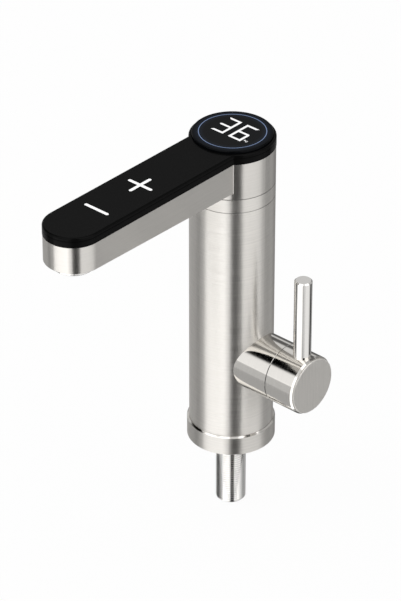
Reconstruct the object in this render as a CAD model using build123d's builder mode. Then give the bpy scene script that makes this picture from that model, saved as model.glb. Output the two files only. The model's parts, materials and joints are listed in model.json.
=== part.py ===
from build123d import *
from math import cos, radians, sin, sqrt
import os

os.makedirs("parts", exist_ok=True)

# Electric instant water heater tap. Millimetres, +Z up. The origin is the centre of the foot on the
# deck. The spout points to -Y and the lever stands out to +X.

# Fits, and how far a cut runs on past the piece it opens
seat_gap = 0.05
running_gap = 0.05
face_gap = 0.02
seam_gap = 0.3
seam_chamfer = 0.3
cut_margin = 1.0
edge_tolerance = 0.01

# Column and foot
column_radius = 29.0
shell_wall = 1.5
column_top = 192.4
base_flare = 1.5
base_ring_height = 14.3
base_chamfer = 1.1
base_floor = 3.0
flange_thickness = 6.0
gasket_inset = 0.5
gasket_width = 3.2
gasket_thickness = 1.5
base_screw_count = 3
base_screw_radius = 2.0
base_screw_head = 3.8
base_screw_length = 8.0
base_screw_socket = 1.5
base_screw_clear = 0.4

# Threaded stem, a half inch pipe thread
thread_major = 20.955
thread_minor = 18.631
thread_pitch = 1.814
thread_root_flat = 0.3
thread_half_angle = 27.5
stem_drop = 55.0
stem_bore = 14.0
stem_socket = 15.0
stem_neck_radius = 9.8
stem_clearance = 1.0

# Cable bush
cable_diameter = 6.6
bush_wall = 0.9
bush_lip = 1.2
bush_lip_height = 1.5
bush_rib = 0.7
bush_recess = 0.5

# Power parts on the base flange
terminal_length = 22.0
terminal_width = 9.5
terminal_height = 12.0
terminal_screw_radius = 2.0
terminal_screw_height = 4.0
terminal_screw_slot = 0.7
terminal_screw_recess = 2.0
terminal_pitch = 7.0
terminal_clear = 1.0
board_thickness = 1.6
power_board_clear = 1.5
power_board_height = 36.0
board_standoff = 2.4
relay_width = 19.0
relay_clear = 1.6
relay_height = 15.0
relay_rise = 18.0
relay_fillet = 0.6
earth_angle = -40.0
earth_screw_radius = 1.5
earth_head_radius = 3.2
earth_head_height = 2.4
earth_screw_depth = 5.0
earth_slot_width = 0.8
earth_slot_depth = 0.8

# Flow switch between stem and valve
flow_flange_inset = 0.3
flow_flange_thickness = 3.0
flow_spigot_length = 8.0
flow_wall = 2.3
chamber_radius = 7.2
flow_bore = 4.5
float_length = 10.0
float_travel = 6.0
float_flute = 1.6
magnet_radius = 3.0
magnet_length = 6.0
cap_plug_length = 5.0
cap_flange_thickness = 2.5
cap_to_block = 2.3
port_outer = 5.5
port_bore = 4.0
port_depth = 6.5
reed_width = 4.0
reed_depth = 3.0
reed_height = 14.0

# Lever, hub and valve
lever_height = 68.8
hub_radius = 20.9
hub_fixed_length = 19.5
hub_turning_length = 24.6
rod_inset = 9.85
rod_radius = 6.1
rod_rise = 80.2
rod_chamfer = 0.9
rod_socket_floor = 11.2
cap_wall = 2.3
cap_skirt = 7.35
cap_bevel_width = 0.8
cap_bevel_length = 1.4
plate_thickness = 2.2
plate_proud = 1.15
plate_chamfer = 0.5
plate_land = 0.25
block_radius = 18.0
block_back = 12.0
block_flat_cut = 1.0
block_clear = 0.8
neck_radius = 16.5
nut_radius = 18.3
nut_depth = 5.0
nut_lap = 1.0
nut_bore = 8.0
nut_to_seam = 3.5
nut_hole_radius = 1.25
nut_hole_depth = 2.5
nut_hole_count = 4
cartridge_radius = 12.45
cartridge_length = 27.0
cartridge_floor = 4.5
cartridge_front = 10.0
disc_radius = 9.85
disc_thickness = 3.5
moving_disc_thickness = 3.0
port_spread = 5.5
disc_port = 2.8
bridge_depth = 1.4
seal_ring = 1.3
seal_thickness = 1.2
spindle_radius = 4.0
spindle_foot = 9.0
spindle_reach = 8.2
grub_radius = 2.5
grub_length = 11.0
grub_socket = 1.3
grub_socket_depth = 2.75
grub_inset = 4.35

# Heater
nipple_flange_radius = 7.5
nipple_height = 7.2
tank_radius = 24.5
tank_wall = 2.5
tank_floor = 4.0
lid_gap = 0.2
lid_thickness = 6.0
lid_plug = 5.0
element_radius = 3.25
element_bend = 11.0
element_spread = 9.0
element_rise = 68.0
element_tail = 8.0
cutout_radius = 5.0
cutout_rim = 4.0
cutout_neck = 3.5
cutout_height = 8.0
cutout_offset = 18.0
probe_radius = 2.5
probe_length = 17.0
probe_head_radius = 4.0
probe_head_height = 5.0
probe_offset = 18.0

# Swivel
spigot_depth = 5.4
spigot_wall = 2.95
collar_height = 10.05
collar_wall = 4.0
web_thickness = 4.0
post_radius = 9.0
post_bore = 4.0
post_spigot = 6.0
post_spigot_depth = 4.0
post_flange_thickness = 6.0
post_flange_inset = 4.45
post_port = 2.0
post_bore_past_port = 1.0
ring_section = 1.4
ring_spacing = 4.6
collar_screw_count = 3
collar_screw_radius = 2.0
collar_screw_head = 3.5
collar_screw_head_height = 3.0
collar_screw_circle = 14.5
collar_screw_angle = 30.0
collar_screw_socket = 1.75
collar_screw_socket_depth = 1.5
collar_screw_end_gap = 1.0
bush_clear = 1.05
stop_pin_radius = 1.5
stop_pin_play = 0.4
swivel_limit = 120.0
clip_thickness = 1.2
clip_grip = 1.1
clip_reach = 2.6
clip_mouth = 9.0
post_end = 1.5

# Head and spout
barrel_height = 26.6
head_floor = 3.0
spout_reach = 152.8
spout_half_width = 19.7
spout_wall = 1.5
spout_depth_root = 22.25
spout_depth_tip = 19.51
corner_fillet = 0.8
underside_fillet = 0.5
hub_wall = 3.35
hub_groove = 1.75
hub_groove_height = 3.0
hub_outlet_radius = 5.0
hub_outlet_reach = 20.0
hub_foot_width = 22.0
hub_foot_reach = 22.0
hub_foot_thickness = 3.0
hub_screw_radius = 1.5
hub_screw_head = 2.6
hub_screw_head_height = 2.2
hub_screw_spread = 8.2
hub_screw_edge = 1.0
hub_screw_end_gap = 0.3
tube_radius = 3.5
tube_wall = 1.3
tube_insert = 4.0
outlet_gap = 0.8
outlet_roof = 2.0
outlet_step = 0.4
aerator_radius = 14.2
aerator_drop = 4.74
aerator_clear = 0.4
aerator_chamfer = 0.6
aerator_thread = 12.0
aerator_thread_length = 5.0
aerator_shoulder_gap = 0.15
aerator_bore = 10.2
aerator_recess = 1.1
mesh_thickness = 3.0
mesh_hole = 0.85
mesh_pitch = 2.15
mesh_side_count = 8
insert_wall = 1.6
seal_height = 1.5
seal_width = 3.9

# Black panel, display and keys
gasket_film = 0.3
panel_height = 7.05
panel_overhang = 0.2
panel_slab = 2.5
panel_groove = 0.4
panel_top = 2.0
panel_lip = 2.0
panel_lip_wall = 1.5
panel_fillet = 1.4
lens_radius = 27.2
lens_gap = 0.35
lens_proud = 1.9
lens_fillet = 0.7
lens_seat = 3.0
lens_seat_thickness = 2.0
inlay_depth = 0.3
light_ring_radius = 22.6
light_ring_width = 0.55
digit_width = 10.6
digit_height = 19.9
digit_stroke = 1.8
digit_middle = 9.6
digit_three_left = -13.3
digit_six_left = 1.9
digit_bottom = -7.0
degree_radius = 0.65
degree_stroke = 0.45
degree_place = (14.3, -4.0)
celsius_radius = 0.9
celsius_mouth = 0.8
celsius_place = (16.2, -4.6)
plus_y = -90.0
minus_y = -131.0
mark_length = 20.5
mark_stroke = 2.4
board_edge = 1.0
display_board_gap = 0.3
touch_board_gap = 0.65
touch_board_start = 64.0
touch_board_end = 148.0
touch_ledge = 3.65
pad_radius = 6.0
board_screw_radius = 1.1
board_screw_head = 1.9
board_screw_head_height = 1.2
board_screw_bite = 2.4
board_screw_inset = 8.0

# Heights and places that follow from the sizes above
shell_inner = column_radius - shell_wall
base_radius = column_radius + base_flare
flange_top = base_floor + flange_thickness
gasket_outer = column_radius - gasket_inset
gasket_inner = gasket_outer - gasket_width
base_screw_circle = gasket_inner - base_screw_head - base_screw_clear
thread_radius = thread_major / 2
stem_opening = thread_radius + stem_clearance
bush_radius = cable_diameter / 2 + bush_wall
cable_offset = stem_opening + bush_rib + bush_radius

hub_seam = column_radius + hub_fixed_length
hub_face = hub_seam + hub_turning_length
rod_out = hub_face - rod_inset
sleeve_end = hub_seam - seam_gap / 2
cap_start = hub_seam + seam_gap / 2
cap_face = hub_face - plate_proud
plate_radius = hub_radius - cap_bevel_width - plate_land
cap_boss = cap_start + cap_skirt
nut_front = sleeve_end - nut_to_seam
nut_back = nut_front - nut_depth
cartridge_end = nut_back + nut_lap
cartridge_back = cartridge_end - cartridge_length
cavity_start = cartridge_back + cartridge_floor
cavity_end = cartridge_end - cartridge_front
moving_start = cavity_start + disc_thickness + face_gap
spindle_start = moving_start + moving_disc_thickness
spindle_end = cap_boss + spindle_reach
block_shoulder = sqrt((shell_inner - block_clear) ** 2 - block_radius**2)
block_bottom = lever_height - block_radius
block_flat = lever_height + block_radius - block_flat_cut

flow_flange_radius = thread_radius - flow_flange_inset
flow_radius = chamber_radius + flow_wall
flow_top = block_bottom - cap_to_block - cap_flange_thickness
plug_bottom = flow_top - cap_plug_length
float_top = plug_bottom - float_travel - running_gap
float_bottom = float_top - float_length
flow_seat = float_bottom - running_gap
board_y = flow_flange_radius + board_standoff
board_face = board_y + board_thickness
power_board_width = 2 * (sqrt(shell_inner**2 - board_face**2) - power_board_clear)
relay_depth = sqrt(shell_inner**2 - (relay_width / 2) ** 2) - relay_clear - board_face
terminal_y = -flow_radius - reed_depth - terminal_clear
terminal_place = (0, terminal_y - terminal_width / 2)
terminal_screw_bottom = flange_top + terminal_height - terminal_screw_recess - terminal_screw_height

tank_bottom = block_flat + nipple_height
lid_top = column_top - spigot_depth
tank_top = lid_top - lid_thickness

collar_top = column_top + collar_height
head_bottom = collar_top + seam_gap
web_bottom = lid_top + post_flange_thickness
web_top = web_bottom + web_thickness
spigot_radius = shell_inner - seat_gap
post_flange_radius = spigot_radius - spigot_wall - post_flange_inset
bush_outer = column_radius - collar_wall - seat_gap
bush_inner = collar_screw_circle + collar_screw_head + bush_clear

shell_top = head_bottom + barrel_height
floor_top = head_bottom + head_floor
tip_underside = shell_top - spout_depth_tip
root_underside = shell_top - spout_depth_root
arm_floor = tip_underside + spout_wall
aerator_shoulder = arm_floor - aerator_shoulder_gap
thread_top = aerator_shoulder + aerator_thread_length
seal_top = thread_top + seal_height
water_bore = tube_radius - tube_wall
waterway_z = seal_top + water_bore + outlet_step
hub_top = waterway_z + ring_spacing + ring_section
hub_outer = post_radius + running_gap + hub_wall
hub_screw_y = hub_screw_head + hub_screw_edge - hub_foot_reach
clip_bottom = hub_top + running_gap
post_top = clip_bottom + clip_thickness + post_end
outlet_radius = spout_half_width - spout_wall - outlet_gap
tube_start = hub_outlet_reach - tube_insert
tube_end = spout_reach - outlet_radius + tube_insert
aerator_bottom = tip_underside - aerator_drop

panel_bottom = shell_top + gasket_film
panel_surface = panel_bottom + panel_height
ceiling = panel_surface - panel_top
lens_bottom = ceiling
lens_top = panel_surface + lens_proud
ledge_bottom = lens_bottom - lens_seat_thickness
lip_bottom = shell_top - panel_lip
pocket_barrel = shell_inner - seat_gap - panel_lip_wall
pocket_half_width = spout_half_width - spout_wall - seat_gap - panel_lip_wall
touch_board_width = 2 * (pocket_half_width - touch_board_gap)
touch_shelf = pocket_half_width - touch_ledge
board_screw_x = (touch_shelf + touch_board_width / 2) / 2


def level(z):
    """The plane square to the column's axis at height z."""
    return Plane.XY.offset(z)


def across(x):
    """The plane square to the lever's axis at distance x from the column's axis."""
    return Plane(origin=(x, 0, lever_height), x_dir=(0, 1, 0), z_dir=(1, 0, 0))


def along_spout(y):
    """The plane square to the waterway, at distance y from the column's axis, facing the tip."""
    return Plane(origin=(0, -y, waterway_z), x_dir=(1, 0, 0), z_dir=(0, -1, 0))


def turned(plane, radius, length, mode=Mode.ADD):
    """A round step: a circle on the plane, carried along the plane's normal."""
    with BuildSketch(plane) as face:
        Circle(radius)
    extrude(face.sketch, amount=length, mode=mode)


def head_outline(barrel, half_width):
    """The head seen from above: the round barrel, and the spout with its half-round end."""
    Circle(barrel)
    with Locations((0, -spout_reach / 2)):
        Rectangle(2 * half_width, spout_reach)
    with Locations((0, -spout_reach)):
        Circle(half_width)


# Foot

with BuildPart() as base_ring:
    with BuildSketch():
        Circle(base_radius)
    extrude(amount=base_ring_height)
    chamfer(base_ring.edges().sort_by(Axis.Z)[-1], base_chamfer)
    turned(level(base_floor), column_radius + seat_gap, base_ring_height, Mode.SUBTRACT)
    turned(level(0), stem_opening, base_floor, Mode.SUBTRACT)
    with BuildSketch():
        with Locations((-cable_offset, 0)):
            Circle(bush_radius + seat_gap)
    extrude(amount=base_floor, mode=Mode.SUBTRACT)
    with BuildSketch():
        Circle(gasket_outer + seat_gap)
        Circle(gasket_inner - seat_gap, mode=Mode.SUBTRACT)
    extrude(amount=gasket_thickness, mode=Mode.SUBTRACT)
    with BuildSketch():
        with PolarLocations(base_screw_circle, base_screw_count):
            Circle(base_screw_radius + seat_gap)
    extrude(amount=base_floor, mode=Mode.SUBTRACT)
    with BuildSketch():
        with PolarLocations(base_screw_circle, base_screw_count):
            Circle(base_screw_head + seat_gap)
    extrude(amount=base_screw_head - base_screw_radius, taper=45, mode=Mode.SUBTRACT)
base_ring.part.label = "base_ring"
export_step(base_ring.part, "parts/base_ring.step")

with BuildPart() as base_gasket:
    with BuildSketch():
        Circle(gasket_outer)
        Circle(gasket_inner, mode=Mode.SUBTRACT)
    extrude(amount=gasket_thickness)
base_gasket.part.label = "base_gasket"
export_step(base_gasket.part, "parts/base_gasket.step")

earth_place = (
    base_screw_circle * cos(radians(earth_angle)),
    base_screw_circle * sin(radians(earth_angle)),
)

with BuildPart() as base_flange:
    turned(level(base_floor), shell_inner - seat_gap, flange_thickness)
    turned(level(base_floor), stem_neck_radius + seat_gap, flange_thickness, Mode.SUBTRACT)
    with BuildSketch(level(base_floor)):
        with Locations((-cable_offset, 0)):
            Circle(bush_radius + seat_gap)
    extrude(amount=flange_thickness, mode=Mode.SUBTRACT)
    with BuildSketch(level(base_floor)):
        with PolarLocations(base_screw_circle, base_screw_count):
            Circle(base_screw_radius + seat_gap)
    extrude(amount=base_screw_length - base_floor + seat_gap, mode=Mode.SUBTRACT)
    with BuildSketch(level(flange_top - earth_screw_depth)):
        with Locations(earth_place):
            Circle(earth_screw_radius + seat_gap)
    extrude(amount=earth_screw_depth, mode=Mode.SUBTRACT)
base_flange.part.label = "base_flange"
export_step(base_flange.part, "parts/base_flange.step")

with BuildPart() as base_screws:
    with BuildSketch():
        with PolarLocations(base_screw_circle, base_screw_count):
            Circle(base_screw_radius)
    extrude(amount=base_screw_length)
    with BuildSketch():
        with PolarLocations(base_screw_circle, base_screw_count):
            Circle(base_screw_head)
    extrude(amount=base_screw_head - base_screw_radius, taper=45)
    with BuildSketch():
        with PolarLocations(base_screw_circle, base_screw_count):
            RegularPolygon(base_screw_socket, 6)
    extrude(amount=base_screw_radius, mode=Mode.SUBTRACT)
base_screws.part.label = "base_screws"
export_step(base_screws.part, "parts/base_screws.step")

# The thread is drawn as rings of the true pitch and depth, with flat crests. A plain neck above it
# is held in the flange.
thread_depth = thread_radius - thread_minor / 2
groove_half = thread_depth * sin(radians(thread_half_angle)) / cos(radians(thread_half_angle))
groove_half_top = groove_half + thread_root_flat / 2
groove_count = int((stem_drop - thread_pitch) / thread_pitch)

with BuildPart() as threaded_stem:
    turned(level(-stem_drop), thread_radius, stem_drop)
    chamfer(threaded_stem.edges().sort_by(Axis.Z)[0], thread_depth)
    turned(level(0), stem_neck_radius, flange_top)
    turned(level(-stem_drop), stem_bore / 2, stem_drop, Mode.SUBTRACT)
    turned(level(0), stem_socket / 2, flange_top, Mode.SUBTRACT)
    with BuildSketch(Plane.XZ):
        for turn in range(groove_count):
            z = -stem_drop + thread_depth + (turn + 0.5) * thread_pitch
            with BuildLine():
                Polyline(
                    (thread_radius, z - groove_half_top),
                    (thread_minor / 2, z - thread_root_flat / 2),
                    (thread_minor / 2, z + thread_root_flat / 2),
                    (thread_radius, z + groove_half_top),
                    (thread_radius + cut_margin, z),
                    close=True,
                )
            make_face()
    revolve(axis=Axis.Z, mode=Mode.SUBTRACT)
threaded_stem.part.label = "threaded_stem"
export_step(threaded_stem.part, "parts/threaded_stem.step")

with BuildPart() as cable_bush:
    with BuildSketch(level(bush_recess)):
        with Locations((-cable_offset, 0)):
            Circle(bush_radius)
    extrude(amount=flange_top - bush_recess)
    with BuildSketch(level(flange_top)):
        with Locations((-cable_offset, 0)):
            Circle(bush_radius + bush_lip)
    extrude(amount=bush_lip_height)
    with BuildSketch(level(bush_recess)):
        with Locations((-cable_offset, 0)):
            Circle(cable_diameter / 2)
    extrude(amount=flange_top + bush_lip_height, mode=Mode.SUBTRACT)
cable_bush.part.label = "cable_bush"
export_step(cable_bush.part, "parts/cable_bush.step")

with BuildPart() as column_shell:
    turned(level(base_floor), column_radius, column_top - base_floor)
    chamfer(column_shell.edges().sort_by(Axis.Z)[-1], seam_chamfer)
    turned(level(base_floor), shell_inner, column_top - base_floor, Mode.SUBTRACT)
    turned(across(0), neck_radius + seat_gap, column_radius + cut_margin, Mode.SUBTRACT)
column_shell.part.label = "column_shell"
export_step(column_shell.part, "parts/column_shell.step")

# Power parts, standing on the base flange

with BuildPart() as terminal_block:
    with BuildSketch(level(flange_top)):
        with Locations(terminal_place):
            Rectangle(terminal_length, terminal_width)
    extrude(amount=terminal_height)
    with BuildSketch(level(flange_top + terminal_height)):
        with Locations(terminal_place):
            with GridLocations(terminal_pitch, 1, 3, 1):
                Circle(terminal_screw_radius + seat_gap)
    extrude(amount=terminal_screw_bottom - flange_top - terminal_height, mode=Mode.SUBTRACT)
terminal_block.part.label = "terminal_block"
export_step(terminal_block.part, "parts/terminal_block.step")

with BuildPart() as terminal_screws:
    with BuildSketch(level(terminal_screw_bottom)):
        with Locations(terminal_place):
            with GridLocations(terminal_pitch, 1, 3, 1):
                Circle(terminal_screw_radius)
    extrude(amount=terminal_screw_height)
    with BuildSketch(level(terminal_screw_bottom + terminal_screw_height)):
        with Locations(terminal_place):
            with GridLocations(terminal_pitch, 1, 3, 1):
                Rectangle(3 * terminal_screw_radius, terminal_screw_slot)
    extrude(amount=-terminal_screw_slot, mode=Mode.SUBTRACT)
terminal_screws.part.label = "terminal_screws"
export_step(terminal_screws.part, "parts/terminal_screws.step")

with BuildPart() as power_board:
    with BuildSketch(level(flange_top)):
        with Locations((0, board_y + board_thickness / 2)):
            Rectangle(power_board_width, board_thickness)
    extrude(amount=power_board_height)
power_board.part.label = "power_board"
export_step(power_board.part, "parts/power_board.step")

with BuildPart() as power_relay:
    with BuildSketch(level(flange_top + relay_rise)):
        with Locations((0, board_face + relay_depth / 2)):
            Rectangle(relay_width, relay_depth)
    extrude(amount=relay_height)
    fillet(power_relay.edges().group_by(Axis.Y)[-1], relay_fillet)
power_relay.part.label = "power_relay"
export_step(power_relay.part, "parts/power_relay.step")

with BuildPart() as earth_screw:
    with BuildSketch(level(flange_top - earth_screw_depth)):
        with Locations(earth_place):
            Circle(earth_screw_radius)
    extrude(amount=earth_screw_depth)
    with BuildSketch(level(flange_top)):
        with Locations(earth_place):
            Circle(earth_head_radius)
    extrude(amount=earth_head_height)
    with BuildSketch(level(flange_top + earth_head_height)):
        with Locations(earth_place):
            Rectangle(3 * earth_head_radius, earth_slot_width)
            Rectangle(earth_slot_width, 3 * earth_head_radius)
    extrude(amount=-earth_slot_depth, mode=Mode.SUBTRACT)
earth_screw.part.label = "earth_screw"
export_step(earth_screw.part, "parts/earth_screw.step")

# Flow switch

with BuildPart() as flow_switch_body:
    turned(level(flange_top - flow_spigot_length), stem_socket / 2 - seat_gap, flow_spigot_length)
    turned(level(flange_top), flow_flange_radius, flow_flange_thickness)
    turned(level(flange_top), flow_radius, flow_top - flange_top)
    turned(level(flange_top - flow_spigot_length), flow_bore, flow_top, Mode.SUBTRACT)
    turned(level(flow_seat), chamber_radius, flow_top - flow_seat, Mode.SUBTRACT)
flow_switch_body.part.label = "flow_switch_body"
export_step(flow_switch_body.part, "parts/flow_switch_body.step")

with BuildPart() as flow_switch_cap:
    turned(level(plug_bottom), chamber_radius - seat_gap, cap_plug_length)
    turned(level(flow_top), flow_radius, cap_flange_thickness)
    turned(level(block_bottom - cap_to_block), port_outer, cap_to_block + port_depth - seat_gap)
    turned(level(plug_bottom), port_bore, block_bottom + port_depth - plug_bottom, Mode.SUBTRACT)
flow_switch_cap.part.label = "flow_switch_cap"
export_step(flow_switch_cap.part, "parts/flow_switch_cap.step")

with BuildPart() as flow_float:
    turned(level(float_bottom), chamber_radius - running_gap, float_length)
    with BuildSketch(level(float_bottom)):
        with PolarLocations(chamber_radius, 4):
            Circle(float_flute)
    extrude(amount=float_length, mode=Mode.SUBTRACT)
    turned(level(float_top - magnet_length), magnet_radius + seat_gap, magnet_length, Mode.SUBTRACT)
flow_float.part.label = "flow_float"
export_step(flow_float.part, "parts/flow_float.step")

with BuildPart() as float_magnet:
    turned(level(float_top - magnet_length), magnet_radius, magnet_length - seat_gap)
float_magnet.part.label = "float_magnet"
export_step(float_magnet.part, "parts/float_magnet.step")

with BuildPart() as reed_switch:
    with BuildSketch(level(float_bottom)):
        with Locations((0, -flow_radius - seat_gap - reed_depth / 2)):
            Rectangle(reed_width, reed_depth)
    extrude(amount=reed_height)
reed_switch.part.label = "reed_switch"
export_step(reed_switch.part, "parts/reed_switch.step")

# Valve: water comes in from below, through the cartridge's discs, and leaves upward to the tank.

with BuildPart() as valve_block:
    turned(across(-block_back), block_radius, block_back + block_shoulder)
    turned(across(-block_back), neck_radius, block_back + cartridge_end)
    with BuildSketch(level(block_flat)):
        Rectangle(2 * cartridge_end, 2 * block_radius)
    extrude(amount=block_radius, mode=Mode.SUBTRACT)
    turned(across(cartridge_back), cartridge_radius + seat_gap, cartridge_length, Mode.SUBTRACT)
    turned(level(block_bottom), port_outer + seat_gap, port_depth, Mode.SUBTRACT)
    turned(level(block_bottom), port_bore, block_radius - port_spread, Mode.SUBTRACT)
    turned(level(block_flat), port_outer + seat_gap, -port_depth, Mode.SUBTRACT)
    turned(
        level(block_flat), port_bore, lever_height + port_spread - block_flat, Mode.SUBTRACT
    )
    with BuildSketch(across(0)):
        with GridLocations(1, 2 * port_spread, 1, 2):
            Circle(disc_port)
    extrude(amount=cartridge_back, mode=Mode.SUBTRACT)
valve_block.part.label = "valve_block"
export_step(valve_block.part, "parts/valve_block.step")

with BuildPart() as cartridge_body:
    turned(across(cartridge_back), cartridge_radius, cartridge_length)
    turned(
        across(cavity_start), disc_radius + seat_gap, cavity_end - cavity_start, Mode.SUBTRACT
    )
    turned(
        across(cavity_end), spindle_radius + running_gap, cartridge_front, Mode.SUBTRACT
    )
    with BuildSketch(across(cartridge_back)):
        with GridLocations(1, 2 * port_spread, 1, 2):
            Circle(disc_port)
    extrude(amount=cartridge_floor, mode=Mode.SUBTRACT)
    with BuildSketch(across(cartridge_back)):
        with GridLocations(1, 2 * port_spread, 1, 2):
            Circle(disc_port + seal_ring + seat_gap)
    extrude(amount=seal_thickness, mode=Mode.SUBTRACT)
cartridge_body.part.label = "cartridge_body"
export_step(cartridge_body.part, "parts/cartridge_body.step")

with BuildPart() as cartridge_seals:
    with BuildSketch(across(cartridge_back)):
        with GridLocations(1, 2 * port_spread, 1, 2):
            Circle(disc_port + seal_ring)
            Circle(disc_port, mode=Mode.SUBTRACT)
    extrude(amount=seal_thickness)
cartridge_seals.part.label = "cartridge_seals"
export_step(cartridge_seals.part, "parts/cartridge_seals.step")

with BuildPart() as fixed_disc:
    turned(across(cavity_start), disc_radius, disc_thickness)
    with BuildSketch(across(cavity_start)):
        with GridLocations(1, 2 * port_spread, 1, 2):
            Circle(disc_port)
    extrude(amount=disc_thickness, mode=Mode.SUBTRACT)
fixed_disc.part.label = "fixed_disc"
export_step(fixed_disc.part, "parts/fixed_disc.step")

# The moving disc's back has a shallow channel, lying across the two ports when the valve is shut.
with BuildPart() as moving_disc:
    turned(across(moving_start), disc_radius - running_gap, moving_disc_thickness)
    with BuildSketch(across(moving_start)):
        SlotOverall(2 * (port_spread + disc_port), 2 * disc_port)
    extrude(amount=bridge_depth, mode=Mode.SUBTRACT)
moving_disc.part.label = "moving_disc"
export_step(moving_disc.part, "parts/moving_disc.step")

with BuildPart() as cartridge_spindle:
    turned(across(spindle_start), spindle_foot, cavity_end - running_gap - spindle_start)
    turned(across(spindle_start), spindle_radius, spindle_end - spindle_start)
cartridge_spindle.part.label = "cartridge_spindle"
export_step(cartridge_spindle.part, "parts/cartridge_spindle.step")

with BuildPart() as cartridge_nut:
    turned(across(nut_back), nut_radius, nut_depth)
    turned(across(nut_back), neck_radius + seat_gap, nut_lap, Mode.SUBTRACT)
    turned(across(nut_back), nut_bore, nut_depth, Mode.SUBTRACT)
    with BuildSketch(across(nut_front)):
        with PolarLocations((nut_bore + nut_radius) / 2, nut_hole_count):
            Circle(nut_hole_radius)
    extrude(amount=-nut_hole_depth, mode=Mode.SUBTRACT)
cartridge_nut.part.label = "cartridge_nut"
export_step(cartridge_nut.part, "parts/cartridge_nut.step")

with BuildPart() as hub_sleeve:
    turned(across(0), hub_radius, sleeve_end)
    chamfer(hub_sleeve.edges().sort_by(Axis.X)[-1], seam_chamfer / 2)
    turned(across(0), neck_radius + seat_gap, sleeve_end, Mode.SUBTRACT)
    turned(across(nut_back), nut_radius + seam_gap, sleeve_end - nut_back, Mode.SUBTRACT)
    with BuildSketch():
        Circle(column_radius + face_gap)
    extrude(amount=lever_height + hub_radius + cut_margin, mode=Mode.SUBTRACT)
hub_sleeve.part.label = "hub_sleeve"
export_step(hub_sleeve.part, "parts/hub_sleeve.step")

# Lever: cap, face plate, rod and grub screw

rod_seat = lever_height + rod_socket_floor

with BuildPart() as lever_cap:
    turned(across(cap_start), hub_radius, cap_face - cap_start)
    chamfer(
        lever_cap.edges().sort_by(Axis.X)[-1], cap_bevel_width, cap_bevel_length,
        reference=lever_cap.faces().sort_by(Axis.X)[-1],
    )
    chamfer(lever_cap.edges().sort_by(Axis.X)[0], seam_chamfer / 2)
    turned(across(cap_start), hub_radius - cap_wall, cap_skirt, Mode.SUBTRACT)
    turned(
        across(cap_boss), spindle_radius + seat_gap, spindle_reach + seat_gap, Mode.SUBTRACT
    )
    turned(
        across(hub_face - plate_thickness), plate_radius + seat_gap, plate_thickness, Mode.SUBTRACT
    )
    with BuildSketch(level(rod_seat)):
        with Locations((rod_out, 0)):
            Circle(rod_radius + seat_gap)
    extrude(amount=hub_radius, mode=Mode.SUBTRACT)
    with BuildSketch(level(lever_height)):
        with Locations((cap_boss + grub_inset, 0)):
            Circle(grub_radius + seat_gap)
    extrude(amount=-hub_radius, mode=Mode.SUBTRACT)
lever_cap.part.label = "lever_cap"
export_step(lever_cap.part, "parts/lever_cap.step")

with BuildPart() as lever_end_plate:
    turned(across(hub_face - plate_thickness), plate_radius, plate_thickness)
    chamfer(lever_end_plate.edges().sort_by(Axis.X)[-1], plate_chamfer)
lever_end_plate.part.label = "lever_end_plate"
export_step(lever_end_plate.part, "parts/lever_end_plate.step")

with BuildPart() as lever_rod:
    with BuildSketch(level(rod_seat)):
        with Locations((rod_out, 0)):
            Circle(rod_radius)
    extrude(amount=rod_rise - rod_socket_floor)
    chamfer(lever_rod.edges().sort_by(Axis.Z)[-1], rod_chamfer)
lever_rod.part.label = "lever_rod"
export_step(lever_rod.part, "parts/lever_rod.step")

grub_top = lever_height - spindle_radius - seat_gap

with BuildPart() as lever_screw:
    with BuildSketch(level(grub_top - grub_length)):
        with Locations((cap_boss + grub_inset, 0)):
            Circle(grub_radius)
    extrude(amount=grub_length)
    with BuildSketch(level(grub_top - grub_length)):
        with Locations((cap_boss + grub_inset, 0)):
            RegularPolygon(grub_socket, 6)
    extrude(amount=grub_socket_depth, mode=Mode.SUBTRACT)
lever_screw.part.label = "lever_screw"
export_step(lever_screw.part, "parts/lever_screw.step")

# Heater tank, standing on a nipple over the valve block

with BuildPart() as tank_nipple:
    turned(level(block_flat - port_depth + seat_gap), port_outer, port_depth)
    turned(level(block_flat), nipple_flange_radius, nipple_height)
    turned(level(tank_bottom), port_outer, tank_floor)
    turned(
        level(block_flat - port_depth),
        port_bore,
        port_depth + nipple_height + tank_floor,
        Mode.SUBTRACT,
    )
tank_nipple.part.label = "tank_nipple"
export_step(tank_nipple.part, "parts/tank_nipple.step")

element_places = [
    (side * element_spread, end * element_bend) for side in (-1, 1) for end in (-1, 1)
]

with BuildPart() as heater_tank:
    turned(level(tank_bottom), tank_radius, tank_top - tank_bottom)
    turned(
        level(tank_bottom + tank_floor),
        tank_radius - tank_wall,
        tank_top - tank_bottom,
        Mode.SUBTRACT,
    )
    turned(level(tank_bottom), port_outer + seat_gap, tank_floor, Mode.SUBTRACT)
    with BuildSketch(level(tank_bottom)):
        with Locations(*element_places):
            Circle(element_radius + seat_gap)
        with Locations((probe_offset, 0)):
            Circle(probe_radius + seat_gap)
    extrude(amount=tank_floor, mode=Mode.SUBTRACT)
heater_tank.part.label = "heater_tank"
export_step(heater_tank.part, "parts/heater_tank.step")

element_turn = tank_bottom + element_rise - element_bend - element_radius

with BuildPart() as heating_elements:
    for side in (-1, 1):
        hairpin = Plane(origin=(side * element_spread, 0, 0), x_dir=(0, 1, 0), z_dir=(1, 0, 0))
        with BuildLine(hairpin) as path:
            Line((element_bend, tank_bottom - element_tail), (element_bend, element_turn))
            RadiusArc((element_bend, element_turn), (-element_bend, element_turn), -element_bend)
            Line((-element_bend, element_turn), (-element_bend, tank_bottom - element_tail))
        with BuildSketch(level(tank_bottom - element_tail)):
            with Locations((side * element_spread, element_bend)):
                Circle(element_radius)
        sweep(path=path.wires()[0])
heating_elements.part.label = "heating_elements"
export_step(heating_elements.part, "parts/heating_elements.step")

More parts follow.
